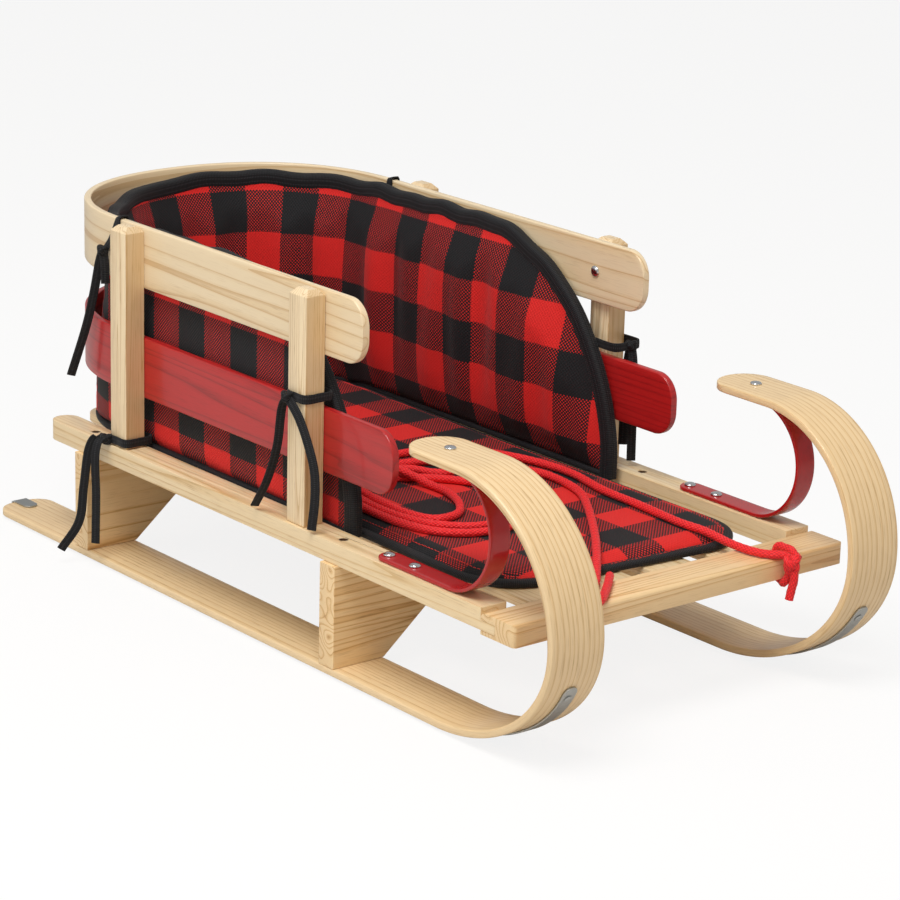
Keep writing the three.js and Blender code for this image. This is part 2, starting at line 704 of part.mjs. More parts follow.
function seatPadOutline() {
  const half = seatPadHalfWidth;
  const bend = bendLine(bandBendX, half, 18).slice(1, -1).map(({ p }) => p);
  const sideSteps = 8;
  const sidePoints = Array.from({ length: sideSteps }, (_, i) => {
    const share = (i + 1) / (sideSteps + 1);
    const x = bandBendX + (seatPadFront - seatPadCorner - bandBendX) * share;
    return new THREE.Vector3(x, seatPadDraw * Math.sin(Math.PI * share) - half, 0);
  });
  const corner = Array.from({ length: 7 }, (_, i) => {
    const angle = (Math.PI / 2) * (i / 6);
    const x = seatPadFront - seatPadCorner * (1 - Math.sin(angle));
    return new THREE.Vector3(x, seatPadCorner * (1 - Math.cos(angle)) - half, 0);
  });
  const rightSide = [...sidePoints, ...corner];
  const leftSide = rightSide.map((p) => new THREE.Vector3(p.x, -p.y, 0)).reverse();
  return [...bend, ...rightSide, ...leftSide];
}

// The pad's rings from its underside to its crown: shares of the way in from the edge,
// of the rim's height and of the crown's further height.
const seatPadRingShares = [
  [0.012, 0, 0], [0, 0.5, 0], [0.012, 1, 0], [0.05, 1, 0.45], [0.12, 1, 0.8], [0.3, 1, 0.97], [0.8, 1, 1],
];

function seatPad() {
  const outline = seatPadOutline();
  const spineFront = seatPadFront - seatPadHalfWidth;
  return skinRings(seatPadRingShares.map(([inShare, rimShare, crownShare]) => {
    const z = seatPadBottom + seatPadRim * rimShare + (seatPadThickness - seatPadRim) * crownShare;
    return outline.map((p) => {
      const spine = new THREE.Vector3(THREE.MathUtils.clamp(p.x, bandBendX, spineFront), 0, 0);
      return p.clone().lerp(spine, inShare).setZ(z);
    });
  }));
}

// Back pad: a soft U inside the bands whose top falls away in a quarter ellipse at each front end.

// The top edge's height above the bottom edge at a place along the sled.
function backPadHeight(x) {
  if (x > crestX) {
    const reach = (x - crestX) / (frontPostX + backPadNose - crestX);
    return Math.max(backPadNoseHeight, backPadSideHeight * Math.sqrt(Math.max(0, 1 - reach * reach)));
  }
  return backPadSideHeight - (backPadRearDrop * (crestX - x)) / (crestX - bandBendX + bandBend);
}

// The pad's section: shares of the rim's depth, of the belly's further depth and of the height.
const backPadSectionShares = [
  [0.15, 0, 0], [0, 0, 0.03], [0, 0, 0.5], [0, 0, 0.97], [0.15, 0, 1], [0.8, 0, 1], [1, 0, 0.975],
  [1, 0.6, 0.86], [1, 0.95, 0.68], [1, 1, 0.45], [1, 0.85, 0.22], [1, 0.4, 0.07], [1, 0, 0.02], [0.8, 0, 0],
];

// Places down each front wing, as shares of its length, closest where the top curves most.
const wingShares = [0, 0.01, 0.03, 0.08, 0.16, 0.27, 0.4, 0.55, 0.75];

function backPadLine() {
  const frontX = frontPostX + backPadNose;
  const places = wingShares.map((share) => frontX + (bandBendX - frontX) * share);
  const wing = (side) => places.map((x) => ({
    p: new THREE.Vector3(x, side * backPadOuter, 0),
    n: new THREE.Vector3(0, -side, 0),
  }));
  return [...wing(1), ...bendLine(frontX, backPadOuter, 22).slice(1, -1), ...wing(-1).reverse()];
}

function backPad() {
  return skinRings(backPadLine().map(({ p, n }) => {
    const height = backPadHeight(p.x);
    const fullness = height / backPadSideHeight;
    return backPadSectionShares.map(([rimShare, bellyShare, heightShare]) => {
      const depth = rimShare * backPadRim + bellyShare * (backPadBelly - backPadRim) * fullness;
      return p.clone().addScaledVector(n, depth).setZ(backPadBottom + heightShare * height);
    });
  }));
}

// Ties: flat webbing sewn to the back pad, knotted round the posts and over the upper band.

// A tail of webbing that leaves a knot. It ends so far along, across and below the knot, and its
// table gives the shares of that reach and of that drop at each of its places.
function tieTail(knot, along, outwards, length, tailShares) {
  const reach = new THREE.Vector3(along, outwards, 0);
  const side = new THREE.Vector3(-outwards, along, 0).normalize();
  const points = tailShares.map(([out, down]) =>
    knot.clone().addScaledVector(reach, out).addScaledVector(up, -down * length));
  const line = points.map((p, i) => {
    const [before, after] = [points[Math.max(i - 1, 0)], points[Math.min(i + 1, points.length - 1)]];
    return { p, n: side.clone().cross(after.clone().sub(before)).normalize() };
  });
  return bentStrip(line, side, webbingWidth, webbingThickness, webbingThickness, webbingThickness);
}

const longTailShares = [[0, 0], [0.21, -0.01], [0.35, 0.07], [0.49, 0.42], [0.6, 0.74], [1, 1]];
const shortTailShares = [[0, 0], [0.58, 0], [0.92, 0.1], [0.92, 0.54], [1, 1]];
const arcTailShares = [[0, 0], [0.4, 0.13], [0.74, 0.32], [0.97, 0.52], [1, 0.74], [0.9, 1]];
const slantTailShares = [[0, 0], [0.14, 0.09], [0.3, 0.44], [0.61, 0.75], [1, 1]];
const looseTailShares = [[0, 0], [0.5, 0.12], [0.83, 0.48], [1, 1]];
const bandTailShares = [[0, 0], [0.09, 0.08], [0.26, 0.31], [0.48, 0.56], [1, 1]];
const endTailShares = [[0, 0], [0.75, 0.33], [1, 1]];

// A loop of webbing round a post that also lies against the pad behind it.
function tieLoop(x, side, z, frontReach) {
  const body = (grow, halfHeight) => {
    const near = side * (backPadOuter + clearance + webbingThickness - grow);
    const far = side * (postOuter + clearance + grow);
    return box(x - postDepth / 2 - clearance - grow, x + frontReach + grow,
      Math.min(near, far), Math.max(near, far), z - halfHeight, z + halfHeight);
  };
  return cut(body(webbingThickness, webbingWidth / 2), [body(0, webbingWidth)]);
}

const tightReach = postDepth / 2 + clearance;
const tieKnot = (knot) => ball(knot, tieKnotRadius, tieKnotRadius, tieKnotRadius);

function rearTie(side) {
  const z = postBottom + tieKnotRadius + clearance;
  const knotY = side * (postOuter + clearance + tieKnotRadius);
  const knot = new THREE.Vector3(rearPostX - postDepth / 2, knotY, z);
  const spread = side * (deckOuter + rearTailSpread) - knot.y;
  const longTail = tieTail(knot, -rearTailLean, spread, rearTailLength, longTailShares);
  const shortTail = tieTail(knot, 0, side * rearShortTailReach, rearShortTailLength, shortTailShares);
  return join([tieLoop(rearPostX, side, z, tightReach), tieKnot(knot), longTail, shortTail]);
}

function frontRightTie() {
  const z = railTop + frontTieRise;
  const knot = new THREE.Vector3(frontPostX - postDepth / 4, -postOuter - clearance - tieKnotRadius, z);
  const frontTail = tieTail(knot, frontTailReach, 0, frontTailLength, arcTailShares);
  const rearTail = tieTail(knot, -frontTailLean, 0, frontTailLength, slantTailShares);
  return join([tieLoop(frontPostX, -1, z, tightReach), tieKnot(knot), frontTail, rearTail]);
}

function frontLeftTie() {
  const z = railTop + frontTieRise;
  const reach = postDepth / 2 + looseLoopReach;
  const knot = new THREE.Vector3(frontPostX + reach, railY, z);
  const frontTail = tieTail(knot, looseTailReach, 0, looseTailLength, looseTailShares);
  const rearTail = tieTail(knot, -looseTailReach, 0, looseShortTailLength, looseTailShares);
  return join([tieLoop(frontPostX, 1, z, reach), tieKnot(knot), frontTail, rearTail]);
}

// A strap over the upper band's top edge, from the pad inside down to a knot outside.
function bandTie(side) {
  const x = rearPostX - bandTieSetback;
  const inner = bandInner - clearance;
  const outer = bandOuter + clearance;
  const top = upperBandTop + clearance;
  const padTop = backPadBottom + backPadHeight(x) + clearance;
  const bendZ = upperBandTop - webbingWidth;
  const panel = (nearY, farY, low, high) => {
    const ends = [side * nearY, side * farY];
    return box(x - webbingWidth / 2, x + webbingWidth / 2, Math.min(...ends), Math.max(...ends), low, high);
  };
  const outwards = new THREE.Vector3(0, side, 0);
  const start = new THREE.Vector3(x, side * outer, bendZ + webbingWidth / 2);
  const end = new THREE.Vector3(x - bandTieLean, side * outer, upperBandTop - bandTieDrop);
  const flat = end.clone().sub(start).normalize().cross(outwards);
  const slant = [start, end].map((p) => ({ p, n: outwards }));
  const knot = end.clone().addScaledVector(outwards, tieKnotRadius);
  return join([
    panel(inner - webbingThickness, inner, padTop, top + webbingThickness),
    panel(inner - webbingThickness, outer + webbingThickness, top, top + webbingThickness),
    panel(outer, outer + webbingThickness, bendZ, top + webbingThickness),
    bentStrip(slant, flat, webbingWidth, webbingThickness, webbingThickness, webbingThickness),
    tieKnot(knot),
    tieTail(knot, -bandTailLean, 0, bandTailLength, bandTailShares),
    tieTail(knot, bandShortTailReach, 0, bandShortTailLength, endTailShares),
  ]);
}

// Pull rope: one length of braided cord from the left knot to the right one, lying in loops on the seat.

// Places chosen by hand along the rope's middle line.
const ropePlaces = [
  [348, 97.5, 116.7], [341, 93, 116.7], [328, 90, 116.8], [308, 88.6, 117.4], [294, 87.4, 119.2],
  [280, 85, 121.3], [268, 82.8, 121.8],
  [256, 82, 121.8], [203, 86, 121.8], [153, 88, 121.8], [105, 97, 121.8], [70, 96, 121.8], [34, 87, 121.8],
  [5, 72, 121.8], [-15, 52, 121.8], [-26, 27, 121.8], [-30, 0, 121.8], [-29, -27, 121.8], [-22, -54, 121.8],
  [-11, -77, 121.8], [6, -95, 121.8], [32, -106, 121.8], [61, -109.5, 121.8], [90, -112, 121.8],
  [127, -110, 121.8], [160, -99, 121.8], [178, -78, 121.8], [184, -50, 121.8], [176, -20, 121.8],
  [155, 8, 121.8], [126, 23, 121.8], [88, 31, 121.8], [49, 33, 121.8], [22, 28, 121.8], [2, 14, 121.8],
  [-6, -9, 121.8], [-9, -34, 121.8], [-6, -57, 121.8], [4, -76, 121.8], [22, -90, 121.8], [48, -97.5, 121.8],
  [78, -102, 121.8], [115, -100, 121.8], [146, -88, 121.8], [167, -64, 121.8], [168, -39, 121.8],
  [158, -15, 121.8], [141, 3, 121.8], [116, 13, 121.8], [88, 14, 121.8], [63, 4, 121.8], [41, -14, 121.8],
  [25, -36, 121.8], [15, -51, 121.8], [12.5, -63, 121.8], [17, -75, 121.8], [28.5, -82.5, 121.8],
  [43, -85.5, 121.8], [76, -90, 121.8], [112, -90, 121.8], [133, -80, 121.8], [133, -58, 121.8],
  [112, -38, 121.8], [80, -26, 121.8],
  [56, -26, 122.3], [40, -31, 126.5], [26, -37.5, 130.3], [13, -38.5, 126.5], [4.5, -31, 122.3],
  [4.5, -20, 121.8],
  [14, -9, 121.8], [30, -2, 121.8], [42, 8, 123.5], [47, 20, 128], [49.5, 32, 130.2], [52, 44, 128],
  [57, 57, 123.5], [68, 69, 121.8], [86, 76, 121.8], [118, 75, 121.8], [147, 67, 121.8], [182, 45, 121.8],
  [231, 9, 121.8], [262, -16, 121.8], [283, -34, 120.8], [302, -51, 118.6], [320, -68, 117],
  [333, -85.5, 116.7],
  [339.8, -95, 116.7], [344, -101, 116.7],
].map((place) => new THREE.Vector3(...place));

const ropeLine = smoothLine(ropePlaces);
const ropeStep = 1.5 * ropeDiameter;

// The least air between two stretches of the rope, measured between points on its straight steps.
function leastRopeGap() {
  const corners = ropeLine.getSpacedPoints(Math.round(ropeLine.getLength() / ropeStep));
  const quarterShares = [0, 0.25, 0.5, 0.75];
  const points = corners.slice(1).flatMap((corner, i) =>
    quarterShares.map((share) => new THREE.Vector3().lerpVectors(corners[i], corner, share)));
  const apart = 12;
  let least = Infinity;
  for (let i = 0; i < points.length; i++) {
    for (let k = i + apart; k < points.length; k++) least = Math.min(least, points[i].distanceTo(points[k]));
  }
  return least - ropeDiameter;
}

console.log(`Least gap between the rope's turns: ${leastRopeGap().toFixed(2)} mm`);
console.log(`Length of the rope between its knots: ${ropeLine.getLength().toFixed(0)} mm`);

// A knot in front of the crossbar, with its ring through the hole, the rope's stub and a cut tail.
function ropeKnot(side, ropeEnd, ropeBefore, tailPlaces) {
  const slack = ropeRadius / 3;
  const lift = ropeRadius + clearance + slack;
  const restZ = crossbarTop + ropeRadius + clearance;
  const y = side * holeY;
  const turn = ropeHoleRadius;
  const knot = new THREE.Vector3(crossbarFront + clearance + knotDepth / 2, side * (holeY - ropeRadius),
    restZ - knotHeight / 3);
  const corner = (x, z, radius, from) => [0, 1, 2, 3, 4].map((i) => {
    const angle = from + (Math.PI / 8) * i;
    return new THREE.Vector3(x + radius * Math.cos(angle), y, z + radius * Math.sin(angle));
  });
  const ring = [
    knot.clone().setY(y),
    ...corner(crossbarFront, crossbarTop, lift, 0),
    ...corner(holeX + turn, crossbarTop + lift - turn, turn, Math.PI / 2),
    ...corner(holeX + turn, crossbarBottom - lift + turn, turn, Math.PI),
    ...corner(crossbarFront, crossbarBottom, lift, Math.PI * 1.5),
    knot,
  ];
  const along = ropeEnd.clone().sub(ropeBefore).normalize();
  const reaches = [clearance, clearance + ropeDiameter];
  const stub = reaches.map((reach) => ropeEnd.clone().addScaledVector(along, reach));
  const cords = [ring, [knot, ...tailPlaces(knot)], [...stub, knot.clone().setZ(restZ)]];
  return join([
    ball(knot, knotDepth / 2, knotWidth / 2, knotHeight / 2),
    ...cords.map((places) => roundCord(smoothLine(places), ropeRadius)),
  ]);
}

// The left knot's tail hangs down in front of the crossbar.
function hangingTail(knot) {
  return [1 / 3, 1].map((share) =>
    new THREE.Vector3(knot.x, knot.y + ropeRadius * share, knot.z - knotTailLength * share));
}

// The right knot's tail lies back over the crossbar's top.
function lyingTail() {
  const places = [[354, -90, 117.5], [346, -82, 117], [329, -63, 116.7], [312.5, -46, 116.7]];
  return places.map((place) => new THREE.Vector3(...place));
}

// The sled, piece by piece.

for (const [name, side] of Object.entries(sides)) {
  add(`runner_${name}`, runner(side), ash);
  add(`runner_shoe_${name}`, shoe(side), galvanised);
  add(`shoe_screw_${name}`, shoeScrew(side), brightSteel);
  add(`side_rail_${name}`, rail(side), ash);
  add(`brace_${name}`, brace(side), redEnamel);
  add(`curl_rivet_${name}`, curlRivet(side), brightSteel);
  add(`tie_rear_${name}`, rearTie(side), blackWebbing);
  add(`tie_band_${name}`, bandTie(side), blackWebbing);
  braceBolts.forEach((x, i) => add(`brace_bolt_${name}_${i + 1}`, braceBolt(x, side), brightSteel));
  bolsterPlaces.forEach((x, i) => add(`rail_screw_${name}_${i + 1}`, railScrew(x, side), brightSteel));
  for (const [end, x] of Object.entries(postPlaces)) {
    add(`post_${end}_${name}`, post(x, side), ash);
    add(`post_screw_${end}_${name}`, postScrew(x, side), brightSteel);
    add(`upper_bolt_${end}_${name}`, bandBolt(x, side, upperBandZ), brightSteel);
    add(`lower_bolt_${end}_${name}`, bandBolt(x, side, lowerBandZ), brightSteel);
  }
}
add('bolster_front', bolster(bolsterPlaces[0]), ash);
add('bolster_rear', bolster(bolsterPlaces[1]), ash);
add('front_crossbar', crossbar(), ash);
slatPlaces.forEach((y, i) => add(`seat_slat_${i + 1}`, slat(y), ash));
add('upper_band', band(upperBandZ, upperBandLead), ash);
add('lower_band', band(lowerBandZ, lowerBandLead), redAsh);
add('seat_pad', seatPad(), plaidCloth);
add('back_pad', backPad(), plaidCloth);
add('tie_front_left', frontLeftTie(), blackWebbing);
add('tie_front_right', frontRightTie(), blackWebbing);
add('pull_rope', roundCord(ropeLine, ropeStep), redRope);
add('rope_knot_left', ropeKnot(1, ropePlaces[0], ropePlaces[1], hangingTail), redRope);
add('rope_knot_right', ropeKnot(-1, ropePlaces.at(-1), ropePlaces.at(-2), lyingTail), redRope);

export default sled;
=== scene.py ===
# Baby pull sled in ash, red stained ash, enamelled steel and buffalo plaid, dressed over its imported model.
# Metres. +X runs forwards, +Y to the sled's left, +Z up.
import math
import bmesh
import bpy
import numpy as np
from mathutils import Matrix, Vector


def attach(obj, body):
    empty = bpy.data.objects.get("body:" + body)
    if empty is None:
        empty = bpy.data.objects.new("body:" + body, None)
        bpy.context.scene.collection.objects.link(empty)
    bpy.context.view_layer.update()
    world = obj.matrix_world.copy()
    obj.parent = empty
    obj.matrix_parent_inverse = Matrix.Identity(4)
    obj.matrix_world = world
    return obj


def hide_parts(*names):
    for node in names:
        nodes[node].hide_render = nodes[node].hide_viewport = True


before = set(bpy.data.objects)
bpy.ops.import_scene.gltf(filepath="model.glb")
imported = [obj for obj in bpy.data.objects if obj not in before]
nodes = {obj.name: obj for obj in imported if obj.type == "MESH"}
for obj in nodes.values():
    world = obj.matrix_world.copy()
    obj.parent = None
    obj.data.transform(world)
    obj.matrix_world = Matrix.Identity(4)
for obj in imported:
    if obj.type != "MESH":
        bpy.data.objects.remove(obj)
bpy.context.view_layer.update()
sides = {"left": 1.0, "right": -1.0}
up = np.array([0.0, 0.0, 1.0])
sideways = np.array([0.0, 1.0, 0.0])
millimetre = 0.001
print("frame loaded,", len(nodes), "nodes")

# Working helpers


def unit(v):
    return v / np.maximum(np.linalg.norm(v, axis=-1, keepdims=True), 1e-12)


def marksOf(points):
    # distance of each point from the start of its line
    return np.concatenate([[0.0], np.cumsum(np.linalg.norm(np.diff(points, axis=0), axis=1))])


def atMarks(points, marks, wanted):
    # points, or what goes with them, read at wanted distances along the line
    return np.stack([np.interp(wanted, marks, points[:, k]) for k in range(points.shape[1])], -1)


def smoothLine(places, step):
    # centripetal Catmull-Rom curve through places in millimetres, cut into even steps
    p = np.asarray(places, float) * millimetre
    p = np.vstack([2 * p[0] - p[1], p, 2 * p[-1] - p[-2]])
    gap = np.sqrt(np.linalg.norm(np.diff(p, axis=0), axis=1))[:, None, None]
    t = np.linspace(0, 1, 12, endpoint=False)[None, :, None]
    a, b, c, d = p[:-3, None], p[1:-2, None], p[2:-1, None], p[3:, None]
    ta, tb, tc = gap[:-2], gap[1:-1], gap[2:]
    m1 = ((b - a) / ta - (c - a) / (ta + tb) + (c - b) / tb) * tb
    m2 = ((c - b) / tb - (d - b) / (tb + tc) + (d - c) / tc) * tb
    fine = (2 * t**3 - 3 * t**2 + 1) * b + (t**3 - 2 * t**2 + t) * m1
    fine = fine + (3 * t**2 - 2 * t**3) * c + (t**3 - t**2) * m2
    fine = np.vstack([fine.reshape(-1, 3), p[-2]])
    marks = marksOf(fine)
    return atMarks(fine, marks, np.linspace(0, marks[-1], max(8, round(marks[-1] / step)) + 1))


def gridMesh(rows, around, along, grain=None, ends="capped"):
    # rows of points, each closed on itself, joined into quads; uv is (around, along) in metres
    # the first and last rows are capped, or joined to each other
    count, cols = rows.shape[:2]
    bands = count if ends == "joined" else count - 1
    i, j = np.meshgrid(np.arange(bands), np.arange(cols), indexing="ij")
    n, m = (j + 1) % cols, (i + 1) % count
    quads = np.stack([i * cols + j, i * cols + n, m * cols + n, m * cols + j], -1).reshape(-1, 4)
    u = np.stack([around[j], around[j + 1], around[j + 1], around[j]], -1).reshape(-1)
    v = np.stack([along[i], along[i], along[m], along[m]], -1).reshape(-1)
    faces = quads.tolist()
    if ends == "capped":
        faces += [list(range(cols))[::-1], list(range((count - 1) * cols, count * cols))]
        u = np.concatenate([u, around[:cols][::-1], around[:cols]])
        v = np.concatenate([v, np.full(cols, along[0]), np.full(cols, along[-1])])
    return {"points": rows.reshape(-1, 3), "faces": faces, "uv": np.stack([u, v], -1),
            "grain": None if grain is None else grain.reshape(-1, 3)}


def makePiece(name, parts, material, replaces=(), sharp=45, body="root"):
    # one object from one or more meshes, faces turned outwards
    points, faces, uv, grain, base = [], [], [], [], 0
    for part in parts:
        points.append(part["points"])
        faces += [[k + base for k in face] for face in part["faces"]]
        uv.append(part["uv"])
        grain.append(part["points"] if part["grain"] is None else part["grain"])
        base += len(part["points"])
    mesh = bpy.data.meshes.new(name)
    mesh.from_pydata(np.concatenate(points), [], faces)
    layer = mesh.uv_layers.new(name="cloth")
    layer.data.foreach_set("uv", np.concatenate(uv).astype(np.float32).ravel())
    lay = mesh.attributes.new("grain", "FLOAT_VECTOR", "POINT")
    lay.data.foreach_set("vector", np.concatenate(grain).astype(np.float32).ravel())
    bm = bmesh.new()
    bm.from_mesh(mesh)
    bmesh.ops.recalc_face_normals(bm, faces=bm.faces)
    bm.to_mesh(mesh)
    bm.free()
    mesh.shade_smooth()
    mesh.set_sharp_from_angle(angle=math.radians(sharp))
    piece = bpy.data.objects.new(name, mesh)
    bpy.context.scene.collection.objects.link(piece)
    mesh.materials.append(material)
    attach(piece, body)
    if replaces:
        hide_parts(*replaces)
    return piece


def braidHeight(path, cols, look):
    # crossing strands stand out: |sin(n a + k s)| * |sin(n a - k s)|
    # with the angle a round the rope and the length s along it
    a = np.linspace(0, 2 * np.pi, cols, endpoint=False)[None, :]
    s = marksOf(path)[:, None] * 2 * np.pi / look["pitch"]
    n = look["strands"] / 2
    return 1 + look["relief"] * (np.abs(np.sin(n * a + s)) * np.abs(np.sin(n * a - s)) - 0.5)


def sweep(path, lean, halfLean, halfSide, cols=16, power=2.0, relief=1.0):
    # a superellipse carried along a path; lean is the direction of the section's first axis
    along = unit(np.gradient(path, axis=0))
    lean = np.broadcast_to(lean, path.shape)
    first = unit(lean - (lean * along).sum(1, keepdims=True) * along)
    second = np.cross(along, first)
    angle = np.linspace(0, 2 * np.pi, cols, endpoint=False)
    c, s = np.cos(angle), np.sin(angle)
    a = np.sign(c) * np.abs(c) ** (2 / power)
    b = np.sign(s) * np.abs(s) ** (2 / power)
    halfLean, halfSide = (np.broadcast_to(h, len(path))[:, None, None] for h in (halfLean, halfSide))
    relief = np.broadcast_to(relief, (len(path), cols))[:, :, None]
    outwards = first[:, None] * a[None, :, None] * halfLean + second[:, None] * b[None, :, None] * halfSide
    rows = path[:, None] + relief * outwards
    girth = 2 * np.pi * float(np.mean(halfLean) + np.mean(halfSide)) / 2
    return gridMesh(rows, np.linspace(0, girth, cols + 1), marksOf(path))


def strip(path, through, side, size, phase):
    # a bent board: a rounded rectangle carried along a path, narrowing in a round at both ends
    marks = marksOf(path)
    total = marks[-1]
    near = 1 - np.cos(np.linspace(0, np.pi / 2, 14))
    wanted = np.unique(np.round(np.concatenate([
        near * size["startCorner"], total - near * size["endCorner"],
        np.arange(0, total, 0.004)]), 6))
    wanted = np.append(wanted[wanted < total - 1e-5], total)
    p, n = atMarks(path, marks, wanted), unit(atMarks(through, marks, wanted))

    def drop(distance, corner):
        left = np.clip(1 - distance / corner, 0, 1)
        return corner * (1 - np.sqrt(1 - left**2))

    ease, t = size["ease"], size["thickness"]
    half = size["width"] / 2 - drop(wanted, size["startCorner"]) - drop(total - wanted, size["endCorner"])
    turn = np.linspace(0, np.pi / 2, 4)
    acrossSign = np.repeat([1, -1, -1, 1], 4)
    throughSign = np.repeat([1, 1, -1, -1], 4)
    angle = np.concatenate([turn, turn[::-1], turn, turn[::-1]])
    flatCount = 5
    across = acrossSign * (half[:, None] - ease + ease * np.cos(angle))
    deep = throughSign * (t / 2 - ease + ease * np.sin(angle))
    # extra points across both broad faces keep the grain even
    spread = np.linspace(0, 1, flatCount + 2)[1:-1]
    topA = across[:, 3:4] + (across[:, 4:5] - across[:, 3:4]) * spread
    lowA = across[:, 11:12] + (across[:, 12:13] - across[:, 11:12]) * spread
    across = np.concatenate([across[:, :4], topA, across[:, 4:12], lowA, across[:, 12:]], 1)
    topD, lowD = np.full(flatCount, t / 2), np.full(flatCount, -t / 2)
    deep = np.concatenate([deep[:4], topD, deep[4:12], lowD, deep[12:]])
    deep = np.broadcast_to(deep, across.shape)
    rows = (p + n * t / 2)[:, None] + side * across[:, :, None] + n[:, None] * deep[:, :, None]
    marks3 = np.broadcast_to(wanted[:, None], across.shape)
    grain = np.stack([marks3 + phase, across + phase * 0.37, deep + phase * 0.11], -1)
    return gridMesh(rows, np.linspace(0, 2 * (size["width"] + t), rows.shape[1] + 1), wanted, grain)


def turned(profile, centre, axis, segments=32, ends="capped"):
    # a profile of (radius, height) pairs turned about an axis
    axis = unit(np.asarray(axis, float))
    first = unit(np.cross(axis, [0.3, 0.9, 0.1]))
    second = np.cross(axis, first)
    angle = np.linspace(0, 2 * np.pi, segments, endpoint=False)
    ring = first * np.cos(angle)[:, None] + second * np.sin(angle)[:, None]
    r, h = np.asarray(profile, float).T
    rows = np.asarray(centre, float) + ring[None] * r[:, None, None] + axis * h[:, None, None]
    return gridMesh(rows, np.linspace(0, 2 * np.pi * r.max(), segments + 1), h, ends=ends)


def easedCopy(name, ease, material):
    # a CAD board with its edges broken by hand sanding
    source = nodes[name]
    mesh = source.data.copy()
    mesh.materials.clear()
    mesh.materials.append(material)
    bm = bmesh.new()
    bm.from_mesh(mesh)
    bmesh.ops.remove_doubles(bm, verts=bm.verts, dist=2e-5)
    bmesh.ops.dissolve_limit(bm, angle_limit=math.radians(2), verts=bm.verts, edges=bm.edges)
    bmesh.ops.recalc_face_normals(bm, faces=bm.faces)
    bm.to_mesh(mesh)
    bm.free()
    mesh.shade_smooth()
    piece = bpy.data.objects.new(name + "_eased", mesh)
    bpy.context.scene.collection.objects.link(piece)
    bevel = piece.modifiers.new("sanded edges", "BEVEL")
    bevel.width, bevel.segments, bevel.limit_method = ease, 3, "ANGLE"
    bevel.angle_limit, bevel.harden_normals = math.radians(35), True
    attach(piece, "root")
    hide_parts(name)
    return piece


# Materials


def linear(code):
    # sRGB hex to the linear colour that Blender works in
    value = np.array([int(code[k:k + 2], 16) for k in (1, 3, 5)]) / 255
    value = np.where(value <= 0.04045, value / 12.92, ((value + 0.055) / 1.055) ** 2.4)
    return (*value.tolist(), 1.0)


def addNode(tree, kind, inputs=None, stops=(), **settings):
    # one shader node with its settings, its socket values and the sockets that feed it
    node = tree.nodes.new("ShaderNode" + kind)
    for key, value in settings.items():
        setattr(node, key, value)
    for key, value in (inputs or {}).items():
        if isinstance(value, bpy.types.NodeSocket):
            tree.links.new(value, node.inputs[key])
        else:
            node.inputs[key].default_value = value
    if stops:
        # a colour ramp's places and their colours
        elements = node.color_ramp.elements
        while len(elements) < len(stops):
            elements.new(0.5)
        for element, (place, code) in zip(elements, stops):
            element.position, element.color = place, linear(code)
    return node


def newMaterial(name, **values):
    material = bpy.data.materials.new(name)
    material.use_nodes = True
    shader = material.node_tree.nodes["Principled BSDF"]
    for key, value in values.items():
        shader.inputs[key.replace("_", " ")].default_value = value
    return material, material.node_tree, shader


